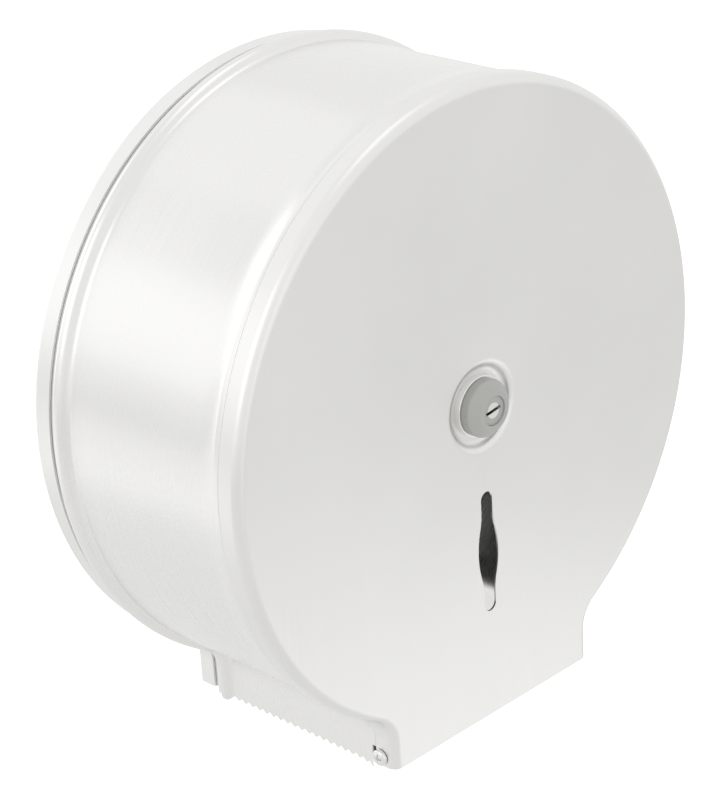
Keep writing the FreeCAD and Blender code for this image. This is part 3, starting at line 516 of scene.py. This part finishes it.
def pivot_sides(rim, strip, last, out):
    """The skirt's faces without its flat sides, the pivot holes, and the filled sides.

    A hole is a circle of the pivot hole's radius about the hinge, in the plane
    X = +-(tab half + out), and its points are numbered after the rim's.
    """
    first = EDGE_COLUMNS
    rows, columns = rim.shape[:2]
    cells = strip.reshape(rows - 1, columns - 1, 4)
    faces = [cells[:, :first].reshape(-1, 4), cells[:, last:].reshape(-1, 4),
             cells[SIDE_ROWS:-SIDE_ROWS, first:last].reshape(-1, 4)]
    number = np.arange(rows * columns).reshape(rows, columns)
    places = rim.reshape(-1, 3)[:, 1:]
    turn = full_turn(HOLE_POINTS)
    holes = []
    triangles = []
    for near, side in ((number[:SIDE_ROWS + 1], 1), (number[:-SIDE_ROWS - 2:-1], -1)):
        loop = np.concatenate((near[0, first:last], near[:-1, last],
                               near[-1, last:first:-1], near[:0:-1, first]))
        hole = np.stack((np.full(HOLE_POINTS, side * (tab_half + out)),
                         pivot_hole * np.cos(turn) - hinge_depth,
                         pivot_hole * np.sin(turn) - hinge_drop), 1)
        start = rows * columns + len(holes) * HOLE_POINTS
        made = fill([(loop, places[loop]), (start + np.arange(HOLE_POINTS), hole[:, 1:])])
        triangles += made[:, ::side].tolist()
        holes.append(hole)
    return faces, holes, triangles


print(f"pivots {hinge_depth / MM:.1f} mm from the wall, {hinge_drop / MM:.1f} mm below the axis")

# %% [markdown]
# Now the tray itself, as one skin, because that is what a press makes of one sheet:
# the skirt and the bend carried round the outline, the pressed centre turned about
# the axis, and the flat sheet filled in between. Separate pieces would show a seam
# wherever two of them meet.

# %% A whole tray
SKIRT_BEND_POINTS = 14
corner_radius = 1.5 * MM


def corner_foot(inward):
    """Foot of a column that far in, where the tab's corner is cut to a quarter circle.

    Foot = tab's bottom - radius + sqrt(radius^2 - (radius - inward)^2).
    """
    inward = np.clip(inward, 0, corner_radius)
    return (tab_bottom - corner_radius
            + np.sqrt(corner_radius ** 2 - (corner_radius - inward) ** 2))


def tray(out, skirt, face, bend, centre, holes, gauge, flip=False, pivot=False):
    """Points and faces of skirt, bend, flat sheet with holes, and pressed centre.

    The skirt has columns at the given depths, then comes the bend, a quarter circle,
    and the sheet lies at the face's depth from there inward. A tray that turns on
    the hinge screws has the pivot holes in its skirt, and heels rounded about them:
    foot = pivot's drop + sqrt(rise^2 - distance^2) behind the pivot. Its sheet's
    edge turns in by distance^2 / edge turn, so the joint to the drum reads as a line.
    """
    way = 1 if face > skirt[0] else -1
    turn = np.linspace(0, math.pi / 2, SKIRT_BEND_POINTS)
    flat_end = face - way * (bend + guard)
    section_out = np.concatenate((np.full(len(skirt) + 1, out),
                                  out - bend + bend * np.cos(turn), [out - bend - guard]))
    section_depth = np.concatenate((skirt, [flat_end],
                                    face - way * (bend - bend * np.sin(turn)), [face]))
    foot = corner_foot(np.maximum(out - section_out, gauge))
    if pivot:
        near_edge = np.clip(edge_turn - (section_depth - skirt[0]), 0, edge_turn)
        section_out = section_out - near_edge ** 2 / edge_turn
        behind = np.clip(hinge_depth - section_depth, 0, hinge_rise)
        foot = np.minimum(foot, hinge_drop + np.sqrt(hinge_rise ** 2 - behind ** 2))
    rim = carry(section_out, section_depth, foot)
    rows, columns = rim.shape[:2]
    count = rows * columns
    points = [rim.reshape(-1, 3)]
    faces = [grid_faces(rows, columns)]
    triangles = []
    if pivot:
        faces, pivots, triangles = pivot_sides(rim, faces[0], len(skirt), out)
        points += pivots
        count += len(pivots) * HOLE_POINTS
    edge = np.arange(rows) * columns + columns - 1
    loops = [(edge, rim[:, -1][:, (0, 2)])]
    dish = turned_row(centre[:, 0], centre[:, 1])
    points.append(dish.reshape(-1, 3))
    faces.append(grid_faces(len(dish), len(centre), first=count, closed_rows=True))
    dish_rim = count + np.arange(len(dish)) * len(centre)
    loops.append((dish_rim, dish[:, 0][:, (0, 2)]))
    count += len(dish) * len(centre)
    for hole in holes:
        points.append(np.stack((hole[:, 0], np.full(len(hole), -face), hole[:, 1]), 1))
        loops.append((count + np.arange(len(hole)), hole))
        count += len(hole)
    triangles += fill(loops).tolist()
    everything = np.concatenate(faces).tolist() + triangles
    if flip:
        everything = [item[::-1] for item in everything]
    return np.concatenate(points), everything


print(f"tray corners cut to {corner_radius / MM:.1f} mm")

# %% [markdown]
# ### The door's viewing slot
# The slot below the lock shows how much of the roll is left. It has round ends,
# short straight necks and a fuller middle. A Bezier curve could follow it, but a
# punch is ground in arcs, so each side is one S and its mirror image: a hollow arc,
# a bulging arc and a hollow arc.

# %% The viewing slot
BULGE_POINTS = 24
HOLLOW_POINTS = 16
CAP_POINTS = 24
slot_drop = 65.3 * MM
slot_half = 27.45 * MM
slot_end = 3.35 * MM
slot_middle = 6.0 * MM
slot_straight = 5.0 * MM
slot_share = 0.6


def viewing_slot():
    """The slot's edge: half circles at its ends, and S-shaped sides between them.

    The radii of an S add up to (run^2 + rise^2) / (2 * rise), and the bulge has its
    share of them, of the run and of the rise.
    """
    rise = slot_middle - slot_end
    run = slot_half - slot_end - slot_straight
    both = (run ** 2 + rise ** 2) / (2 * rise)
    bend = (slot_middle - rise * slot_share, run * slot_share)
    end = slot_half - slot_end
    bulge = arc((bend[0], -bend[1]), bend, both * slot_share, 1, BULGE_POINTS)
    hollow = arc(bend, (slot_end, run), both * (1 - slot_share), -1, HOLLOW_POINTS)
    turn = np.linspace(0, math.pi, CAP_POINTS)
    cap = np.stack((slot_end * np.cos(turn), end + slot_end * np.sin(turn)), 1)
    lower = hollow[::-1] * (1, -1)
    side = np.concatenate((lower, bulge[1:], hollow[1:], cap))
    return np.concatenate((side, -side)) - (0, slot_drop)


slot_edge = viewing_slot()
slot_width, slot_height = np.ptp(slot_edge, axis=0) / MM
print(f"slot {slot_width:.1f} mm wide, {slot_height:.1f} mm high")

# %% [markdown]
# ### The door
# The door is a tray with its skirt towards the wall. The skirt's rear edge meets
# the drum's lip at a crisp joint line, and a dish is pressed in round the lock. The
# skirt's columns begin with the edge that turns in and end at the pivot's depth.

# %% The door
SKIRT_POINTS = 8
door_out = 1.9 * MM
door_bend = 4.3 * MM
dish_radius = 20.5 * MM
dish_flat = 14.5 * MM
dish_deep = 3.5 * MM
barrel_hole = 11.2 * MM
skirt_depth = np.concatenate(((door_rear, door_rear + edge_turn / 2),
                              np.linspace(door_rear + edge_turn, hinge_depth, SKIRT_POINTS)))
door_points, door_faces = tray(
    door_out, skirt_depth, door_face, door_bend,
    pressing(dish_radius, dish_flat, barrel_hole, door_face, dish_deep, sheet),
    [slot_edge], sheet, pivot=True)
build("door_panel", door_points, door_faces, "door", "door_steel", ["front_plate"],
      thickness=sheet)

# %% [markdown]
# ### The wall pan
# The pan is a shallower tray with its face against the wall and its rim towards the
# front, so its faces are flipped. Its centre is pressed forward, to leave room at
# the wall for the rivets' rear heads, and has a small hole. Four more are for the
# wall screws. The rivets' own holes would lie under their heads and are left out.

# %% The wall pan
pan_depth = -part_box("back_plate")[0].y
pan_bend = 2.5 * MM
emboss_radius = 38.0 * MM
emboss_flat = 32.0 * MM
emboss_rise = 3.0 * MM
centre_hole = 2.0 * MM
wall_hole = 3.25 * MM
wall_across = 60.0 * MM
wall_upright = 55.0 * MM
hole_turn = full_turn(HOLE_POINTS)
round_hole = wall_hole * np.stack((np.cos(hole_turn), np.sin(hole_turn)), 1)
wall_holes = [round_hole + (across * wall_across, upright * wall_upright)
              for across, upright in ((1, 1), (-1, 1), (-1, -1), (1, -1))]
pan_points, pan_faces = tray(
    pan_out, [pan_depth], 0.0, pan_bend,
    pressing(emboss_radius, emboss_flat, centre_hole, 0.0, -emboss_rise, pan_sheet),
    wall_holes, pan_sheet, flip=True)
pan = build("wall_pan", pan_points, pan_faces, "base", "drum_steel", ["back_plate"],
            thickness=pan_sheet)

# %% [markdown]
# ## Turned pieces: the lock's boss and ring, and the spindle
# What is made on a lathe or moulded round an axis is a section turned about Y. A
# Screw modifier would turn it too, but leaves a seam to weld, while a grid that is
# closed both ways has none. No real edge is perfectly sharp, and the thin bright
# line on a rounded edge is much of what makes small parts look real, so the section
# helper puts a small arc in each corner.

# %% A rounded section, turned about the axis
FILLET_POINTS = 7


def rounded(corners):
    """A closed section through (radius, depth, fillet) corners in millimetres.

    A fillet touches both sides of its corner at fillet / tan(half the angle).
    """
    corners = np.array(corners, float)
    parts = []
    for item, (radius, depth, fillet) in enumerate(corners):
        corner = np.array((radius, depth))
        before = corners[item - 1, :2] - corner
        after = corners[(item + 1) % len(corners), :2] - corner
        before /= np.hypot(*before)
        after /= np.hypot(*after)
        if fillet == 0:
            parts.append(corner[None])
            continue
        half = math.acos(float(np.clip(before @ after, -1, 1))) / 2
        reach = fillet / math.tan(half)
        turn = 1 if before[1] * after[0] - before[0] * after[1] > 0 else -1
        parts.append(arc(corner + before * reach, corner + after * reach, fillet, turn,
                         FILLET_POINTS))
    return np.concatenate(parts) * MM


def turned(name, corners, body, slot, replaced):
    """A closed section turned once round the Y axis: one ring for each of its points."""
    section = rounded(corners)
    rings = turned_row(section[:, 0], section[:, 1])
    faces = grid_faces(len(rings), len(section), closed_rows=True, closed_columns=True)
    return build(name, rings, faces, body, slot, replaced)


def depths(node):
    """Rear and front of a node's box in millimetres from the wall: -Y / mm."""
    low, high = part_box(node)
    return -high.y / MM, -low.y / MM


print("boss and barrel from {:.1f} to {:.1f} mm".format(*depths("lock_housing")))

# %% [markdown]
# ### The lock's boss and its bright ring
# The lock's case is one grey moulding: a boss with a wide chamfer in front of the
# dish, and a barrel through the door. In its bore the plug turns, kept by a collar
# against a seat. A plated ring lies under the boss, on the dish's floor. The CAD
# solids have these shapes with few rounded edges. Turning them again with a fillet
# in each corner gives the soft shoulder that catches the light.

# %% The lock's boss and its bright ring
barrel_rear, boss_front = depths("lock_housing")
bezel_rear, bezel_front = depths("lock_bezel")
plug_bore = 6.3
collar_bore = 8.6
barrel_radius = 11.0
boss_radius = 12.2
boss_chamfer = 3.7
bezel_bore = 11.05
bezel_radius = 13.2
clip_inset = 0.4
clip_thick = 1.2
turn_gap = 0.1
collar_length = 5.0
collar_seat = barrel_rear + clip_inset + clip_thick + turn_gap + collar_length + turn_gap
turned("lock_boss", [
    (collar_bore, barrel_rear, 0.1), (barrel_radius, barrel_rear, 0.3),
    (barrel_radius, bezel_front, 0.0), (boss_radius, bezel_front, 0.2),
    (boss_radius, boss_front - boss_chamfer, 1.2),
    (boss_radius - boss_chamfer, boss_front, 1.2), (plug_bore, boss_front, 0.15),
    (plug_bore, collar_seat, 0.0), (collar_bore, collar_seat, 0.0)],
    "door", "lock_grey", ["lock_housing"])
turned("lock_ring", [
    (bezel_bore, bezel_rear, 0.0), (bezel_radius, bezel_rear, 0.1),
    (bezel_radius, bezel_front, 0.5), (bezel_bore, bezel_front, 0.1)],
    "door", "lock_plating", ["lock_bezel"])

# %% [markdown]
# ### The sleeve and its tube
# Inside, the roll's core hangs on a plastic sleeve with a flange at its rear and a
# chamfered nose that guides the core on. It spins on a plain steel tube. Both are
# seen only with the door open, and the same turned section serves them. The tube's
# two holes for the cap's pins lie under the sleeve and are left out.

# %% The sleeve and its tube
hub_rear, hub_front = depths("roll_hub")
hub_bore = 16.3
hub_radius = 21.0
nose_chamfer = 1.5
flange_radius = 32.0
flange_front = hub_rear + 2.5
turned("roll_sleeve", [
    (hub_bore, hub_rear, 0.4), (flange_radius, hub_rear, 0.5),
    (flange_radius, flange_front, 1.0), (hub_radius, flange_front, 0.8),
    (hub_radius, hub_front - nose_chamfer, 0.8), (hub_radius - nose_chamfer, hub_front, 0.6),
    (hub_bore, hub_front, 0.4)],
    "hub", "hub_plastic", ["roll_hub"])
tube_rear, tube_front = depths("spindle_tube")
tube_bore = 14.0
tube_radius = 16.0
turned("spindle_pipe", [
    (tube_bore, tube_rear, 0.2), (tube_radius, tube_rear, 0.2),
    (tube_radius, tube_front, 0.2), (tube_bore, tube_front, 0.2)],
    "base", "plain_steel", ["spindle_tube"])

# %% [markdown]
# ## The two corner screws
# A pan-head screw has a low crown with a rounded shoulder, and its cross recess is
# pressed in by a tapered punch. A Boolean with two wedges would leave hard edges.
# Instead the whole screw is one polar grid: the radius runs from the crown's centre
# out over the shoulder, under the head and down the shank, and within the recess
# the crown sinks by an amount that depends on the place across both arms.

# %% The cross recess
recess_span = 2.1 * MM
recess_half_width = 0.5 * MM
recess_wall = 0.25 * MM
recess_deep = 1.4 * MM
recess_taper = 0.6


def cross_recess(across, along):
    """How deep the crown sinks at a place on the head.

    Along an arm it is deep * (1 - distance / span) ^ taper. Across it the wall w
    falls from 1 to 0 at the arm's half width, eased as w^2 * (3 - 2 w), so the
    punched edge is soft. The deeper arm counts.
    """
    def arm(length, width):
        """One arm's share of the full depth, by the distances along and across it."""
        slope = np.clip(1 - np.abs(length) / recess_span, 0, 1) ** recess_taper
        wall = np.clip((recess_half_width - np.abs(width)) / recess_wall, 0, 1)
        return slope * wall * wall * (3 - 2 * wall)

    return recess_deep * np.maximum(arm(across, along), arm(along, across))


print(f"deepest place of the recess {cross_recess(0.0, 0.0) / MM:.1f} mm")

# %% [markdown]
# The heads lie over the joint line between the drum and the door, one on each side.
# The frame's box of each CAD screw says where its head and its shank end.

# %% The corner screws
HEAD_TURNS = 96
CROWN_RINGS = 30
SHOULDER_RINGS = 10
head_height = 2.2 * MM
head_round = 1.4 * MM
head_edge = 0.1 * MM
crown_fall = 0.2 * MM
shank_radius = 1.75 * MM


def corner_screw(side, way):
    """The screw on one side; way is -1 at the left and 1 at the right.

    The crown falls by fall * (radius / its rim)^2, the shoulder is a quarter of an
    ellipse, and the underside and the shank are straight.
    """
    low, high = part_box(f"hinge_screw_{side}")
    centre = (low + high) / 2
    head_top = high.x if way > 0 else -low.x
    shank_end = low.x if way > 0 else -high.x
    shank = head_top - head_height - shank_end
    flat = np.linspace(0, head_radius - head_round, CROWN_RINGS)
    turn = np.linspace(0, math.pi / 2, SHOULDER_RINGS)[1:]
    radius = np.concatenate((
        flat, head_radius - head_round + head_round * np.sin(turn),
        (head_radius, head_radius - head_edge, shank_radius, shank_radius, 0.0)))
    fall = crown_fall * (flat / flat[-1]) ** 2
    shoulder = crown_fall + (head_round - crown_fall) * (1 - np.cos(turn))
    height = np.concatenate((
        -fall, -shoulder, (head_edge - head_height, -head_height, -head_height,
                           -head_height - shank, -head_height - shank)))
    angle = full_turn(HEAD_TURNS)[:, None]
    across = radius * np.cos(angle)
    along = radius * np.sin(angle)
    on_crown = np.arange(len(radius)) < len(flat)
    lift = height - np.where(on_crown, cross_recess(across, along), 0)
    points = np.stack((way * (head_top + lift), centre.y + across, centre.z + along), -1)
    faces = grid_faces(HEAD_TURNS, len(radius), closed_rows=True)
    return build(f"corner_screw_{side}", points, faces, "base", "screw_plating",
                 [f"hinge_screw_{side}"])


for side, way in (("left", -1), ("right", 1)):
    corner_screw(side, way)

# %% [markdown]
# ## Finishes
# Every finish here is a Principled shader with patterns from Noise nodes. An image
# could carry them, but nodes have no edges and no fixed sharpness, and they suit
# any size. Noise is laid on stretched coordinates, so that one node makes clouds,
# ripples or long lines. Its value keeps near the middle, so a range opens it up.

# %% An empty finish, noise and its range
NOISE_LOW, NOISE_HIGH = 0.3, 0.7


def new_finish(name):
    """An empty material with a Principled shader joined to its output."""
    finish = bpy.data.materials.new(name)
    finish.use_nodes = True
    nodes = finish.node_tree.nodes
    nodes.clear()
    shader = nodes.new("ShaderNodeBsdfPrincipled")
    output = nodes.new("ShaderNodeOutputMaterial")
    finish.node_tree.links.new(shader.outputs["BSDF"], output.inputs["Surface"])
    return finish, nodes, finish.node_tree.links, shader


def noise(nodes, links, source, scale, detail, stretch=(1, 1, 1)):
    """Noise on a stretched copy of the coordinates; stretch counts per axis."""
    mapping = nodes.new("ShaderNodeMapping")
    mapping.inputs["Scale"].default_value = stretch
    pattern = nodes.new("ShaderNodeTexNoise")
    pattern.inputs["Scale"].default_value = scale
    pattern.inputs["Detail"].default_value = detail
    links.new(source, mapping.inputs["Vector"])
    links.new(mapping.outputs["Vector"], pattern.inputs["Vector"])
    return pattern.outputs["Fac"]


def spread(nodes, links, value, low, high):
    """Map a noise value, which keeps near the middle, to a range."""
    ramp = nodes.new("ShaderNodeMapRange")
    ramp.inputs["From Min"].default_value = NOISE_LOW
    ramp.inputs["From Max"].default_value = NOISE_HIGH
    ramp.inputs["To Min"].default_value = low
    ramp.inputs["To Max"].default_value = high
    links.new(value, ramp.inputs["Value"])
    return ramp.outputs["Result"]


print("noise values count from", NOISE_LOW, "to", NOISE_HIGH)

# %% [markdown]
# A real surface never has just one colour and one height. The value of the noise
# mixes a colour with its own darker shade, and a Bump node tilts the surface by it.
# Real displacement would need millions of faces for lines so fine.

# %% A tint and a bump
def tint(nodes, links, value, colour, shade):
    """Mix a colour, where the value is 1, with its own shade, where it is 0."""
    mix = nodes.new("ShaderNodeMix")
    mix.data_type = "RGBA"
    mix.inputs["A"].default_value = (*(part * shade for part in colour), 1)
    mix.inputs["B"].default_value = (*colour, 1)
    links.new(value, mix.inputs["Factor"])
    return mix.outputs["Result"]


def add_bump(nodes, links, shader, height, strength, distance):
    """Tilt the surface as if the height pattern were that distance high."""
    bump = nodes.new("ShaderNodeBump")
    bump.inputs["Strength"].default_value = strength
    bump.inputs["Distance"].default_value = distance
    links.new(height, bump.inputs["Height"])
    links.new(bump.outputs["Normal"], shader.inputs["Normal"])


FINE_BUMP = 0.05 * MM
print(f"a fine bump is {FINE_BUMP / MM:.2f} mm high")

# %% [markdown]
# ### Satin steel
# Satin stainless steel is a bright metal whose belt-ground lines run along the
# sheet. The lines spread reflections across themselves, so soft bands of light run
# over the drum. The shader's anisotropy could fake that spread alone, but shows no
# lines. Noise stretched along the grain gives the lines: it moves the roughness a
# little and tilts the surface by a tiny bump. A second, cloudy noise keeps large
# areas from looking computed.

# %% Ground steel
STEEL_CLOUDS = 14.0
STEEL_SHADE = 0.975
GRAIN_SWING = 0.05
CLOUD_SWING = 0.02


def ground_steel(name, colour, rough, lines, source="Object", strength=0.12):
    """Satin steel: lines is the stretch of the grain, cycles per metre on each axis."""
    finish, nodes, links, shader = new_finish(name)
    place = nodes.new("ShaderNodeTexCoord").outputs[source]
    grain = noise(nodes, links, place, 1.0, 5.0, lines)
    cloud = noise(nodes, links, place, STEEL_CLOUDS, 3.0)
    links.new(tint(nodes, links, spread(nodes, links, cloud, 0, 1), colour, STEEL_SHADE),
              shader.inputs["Base Color"])
    both = nodes.new("ShaderNodeMath")
    both.operation = "ADD"
    links.new(spread(nodes, links, grain, rough - GRAIN_SWING, rough + GRAIN_SWING),
              both.inputs[0])
    links.new(spread(nodes, links, cloud, -CLOUD_SWING, CLOUD_SWING), both.inputs[1])
    links.new(both.outputs["Value"], shader.inputs["Roughness"])
    shader.inputs["Metallic"].default_value = 1.0
    add_bump(nodes, links, shader, grain, strength, FINE_BUMP)
    return finish


print(f"clouds {1000 / STEEL_CLOUDS:.0f} mm across")

# %% [markdown]
# ### Plating and mouldings
# The screws and the lock's ring are plated: a brighter metal with a slight ripple,
# because plating follows the ground below it. The lock's case, the sleeve and the
# washer are smooth mouldings with a fine orange peel, which breaks up the highlight
# as a real tool's surface does. One plain colour would look like paint on glass.

# %% Plating and mouldings
PLATING_RIPPLES = 900.0
PLATING_SHADE = 0.94
PLATING_BUMP = 0.04 * MM
MOULDING_CLOUDS = 60.0
MOULDING_SHADE = 0.95
PEEL_SWING = 0.06


def plated(name, colour, rough):
    """Bright plating over a slightly uneven ground: rough * 0.7 to rough * 1.3."""
    finish, nodes, links, shader = new_finish(name)
    place = nodes.new("ShaderNodeTexCoord").outputs["Object"]
    ripple = noise(nodes, links, place, PLATING_RIPPLES, 2.0)
    links.new(tint(nodes, links, ripple, colour, PLATING_SHADE), shader.inputs["Base Color"])
    links.new(spread(nodes, links, ripple, rough * 0.7, rough * 1.3), shader.inputs["Roughness"])
    shader.inputs["Metallic"].default_value = 1.0
    add_bump(nodes, links, shader, ripple, 0.1, PLATING_BUMP)
    return finish


def moulded(name, colour, rough, texture):
    """Moulded surface with an orange peel of texture cycles per metre."""
    finish, nodes, links, shader = new_finish(name)
    place = nodes.new("ShaderNodeTexCoord").outputs["Object"]
    peel = noise(nodes, links, place, texture, 4.0)
    cloud = noise(nodes, links, place, MOULDING_CLOUDS, 3.0)
    links.new(tint(nodes, links, cloud, colour, MOULDING_SHADE), shader.inputs["Base Color"])
    links.new(spread(nodes, links, peel, rough - PEEL_SWING, rough + PEEL_SWING),
              shader.inputs["Roughness"])
    add_bump(nodes, links, shader, peel, 0.15, FINE_BUMP)
    return finish


print(f"ripples {1000 / PLATING_RIPPLES:.1f} mm across")

# %% [markdown]
# ### One finish for each material slot
# The drum's pattern reads its own UV map, in metres along the sheet, so the grain
# follows every bend. The door's grain runs up and down on Object coordinates. The
# pan isn't unrolled, so its steel is the same recipe on Object coordinates, with
# the grain running across it.

# %% The finishes
satin = (0.80, 0.795, 0.785)
finishes = {
    "drum_steel": ground_steel("drum satin steel", satin, 0.28, (9, 2600, 1), "UV", 0.07),
    "door_steel": ground_steel("door satin steel", satin, 0.34, (2200, 2200, 9)),
    "plain_steel": ground_steel("plain steel", (0.62, 0.62, 0.61), 0.30, (900, 900, 900)),
    "screw_plating": plated("screw plating", (0.80, 0.80, 0.79), 0.16),
    "lock_plating": plated("lock plating", (0.82, 0.81, 0.79), 0.20),
    "lock_grey": moulded("lock grey", (0.42, 0.42, 0.40), 0.42, 2500.0),
    "hub_plastic": moulded("hub plastic", (0.035, 0.037, 0.04), 0.45, 1800.0),
    "washer_plastic": moulded("washer plastic", (0.72, 0.70, 0.64), 0.5, 1800.0),
}
pan_steel = ground_steel("pan satin steel", (0.80, 0.80, 0.79), 0.32, (9, 2400, 2400))
print("finishes:", ", ".join(sorted(finishes)), "and the pan's own")

# %% [markdown]
# A new piece gets its finish in its own mesh. The CAD nodes that stay, such as the
# plug, the cam, the ears and the rivets, keep their mesh as it is and get a finish
# in their object's slots.

# %% Give every piece its finish
for piece, slot in made_pieces:
    piece.data.materials.clear()
    piece.data.materials.append(pan_steel if piece is pan else finishes[slot])
for part in frame["record"]["subparts"]:
    node = frame["nodes"][part["node"]]
    if not node.data.materials:
        node.data.materials.append(None)
    for place in node.material_slots:
        place.material = finishes[part["material_slot"]]

# %% [markdown]
# ## Floor, light and camera
# The dispenser hangs on a wall, so the floor lies well below it. It has to look
# white and still take a shadow. More lamps would wash the steel out, so the floor
# glows a little for the camera alone, by way of Light Path's Is Camera Ray.

# %% Floor
floor_drop = 0.62
floor_half = 4.0
floor_glow = 0.45
corners = np.array(((-1, -1, 0), (1, -1, 0), (1, 1, 0), (-1, 1, 0))) * floor_half
floor_mesh = bpy.data.meshes.new("floor")
floor_mesh.from_pydata((corners - (0, 0, floor_drop)).tolist(), [], [(0, 1, 2, 3)])
floor = bpy.data.objects.new("floor", floor_mesh)
bpy.context.scene.collection.objects.link(floor)
floor_finish, nodes, links, shader = new_finish("pale floor")
shader.inputs["Base Color"].default_value = (0.82, 0.82, 0.81, 1)
shader.inputs["Roughness"].default_value = 0.7
shader.inputs["Emission Color"].default_value = (1, 1, 1, 1)
ray = nodes.new("ShaderNodeLightPath")
seen = nodes.new("ShaderNodeMath")
seen.operation = "MULTIPLY"
seen.inputs[1].default_value = floor_glow
links.new(ray.outputs["Is Camera Ray"], seen.inputs[0])
links.new(seen.outputs["Value"], shader.inputs["Emission Strength"])
floor_mesh.materials.append(floor_finish)
print(f"floor {floor_drop:.2f} m below the axis")

# %% [markdown]
# The world is a plain white studio at strength 1, for the camera and in the steel
# alike, so a colour renders about as it is written. A picture of a real studio
# would bring shapes that the photograph doesn't show.

# %% World
world = bpy.data.worlds.new("studio")
bpy.context.scene.world = world
world.use_nodes = True
nodes = world.node_tree.nodes
links = world.node_tree.links
nodes.clear()
output = nodes.new("ShaderNodeOutputWorld")
white = nodes.new("ShaderNodeBackground")
white.inputs["Color"].default_value = (1, 1, 1, 1)
white.inputs["Strength"].default_value = 1.0
links.new(white.outputs["Background"], output.inputs["Surface"])
print("world strength:", white.inputs["Strength"].default_value)

# %% [markdown]
# Satin steel shows what it mirrors, and in an even white room it would look flat.
# Eight faint softboxes, each a little brighter than the white about it, draw the
# soft bands: two behind at the left, with the darker floor between them, for the
# drum's left side, one behind for the flare and one above that for the drum's top,
# one at the left and one overhead for the bead and the door's bend, one in front
# for the line at the face's edge, and one below for the paler foot of the door.
# Spot or point lamps would give hard glints instead of bands.

# %% Lamps
def softbox(name, place, size, glow):
    """An area lamp that faces the origin and adds its glow to the white behind it.

    A flat lamp of that glow sends out pi * area * glow watts.
    """
    lamp = bpy.data.lights.new(name, "AREA")
    lamp.shape = "RECTANGLE"
    lamp.size, lamp.size_y = size
    lamp.energy = math.pi * size[0] * size[1] * glow
    holder = bpy.data.objects.new(name, lamp)
    bpy.context.scene.collection.objects.link(holder)
    aim = (-Vector(place)).to_track_quat("-Z", "Y").to_matrix().to_4x4()
    holder.matrix_world = Matrix.Translation(place) @ aim


softboxes = (
    ("back left", (-1.1, 1.2, 0.5), (1.3, 0.8), 0.22),
    ("back left low", (-0.75, 0.85, -0.6), (1.4, 0.8), 0.22),
    ("back", (-0.35, 1.5, 0.3), (0.7, 1.4), 0.50),
    ("back top", (0.1, 1.2, 1.3), (1.2, 0.7), 0.10),
    ("left", (-1.4, 0.1, 0.7), (1.0, 1.1), 0.50),
    ("overhead", (0.2, -0.15, 1.4), (0.9, 0.5), 0.40),
    ("front", (-0.25, -1.5, 0.05), (0.4, 1.2), 0.20),
    ("front low", (0.35, -0.45, -0.52), (0.45, 0.35), 0.30))
for name, place, size, glow in softboxes:
    softbox(name, place, size, glow)
print("softboxes:", len(softboxes))

# %% [markdown]
# The camera stands where the photograph was taken from: in front at the left,
# above, and tipped a little. It could be placed by eye, but the drum's circles in
# the photograph give its place, its three angles and its focal length. Blender
# measures the lens against a picture's longer side, here its height of 800 pixels.

# %% Camera
eye = Vector((-0.6945, -0.7595, 0.4216))
yaw, pitch, roll = 0.7741, -0.4146, 0.0609
focal_pixels = 2571.9
image_height = 800
ahead = Vector((math.sin(yaw) * math.cos(pitch), math.cos(yaw) * math.cos(pitch),
                math.sin(pitch)))
right = Vector((math.cos(yaw), -math.sin(yaw), 0))
down = ahead.cross(right)
turned_right = math.cos(roll) * right + math.sin(roll) * down
turned_down = math.cos(roll) * down - math.sin(roll) * right
lens = bpy.data.cameras.new("camera")
lens.sensor_width = 36.0
lens.lens = focal_pixels / image_height * lens.sensor_width
lens.clip_start = 0.01
camera = bpy.data.objects.new("camera", lens)
bpy.context.scene.collection.objects.link(camera)
axes = Matrix((turned_right, -turned_down, -ahead)).transposed()
camera.matrix_world = Matrix.Translation(eye) @ axes.to_4x4()
bpy.context.scene.camera = camera
bpy.context.scene.view_settings.view_transform = "Standard"
print(f"lens {lens.lens:.1f} mm")
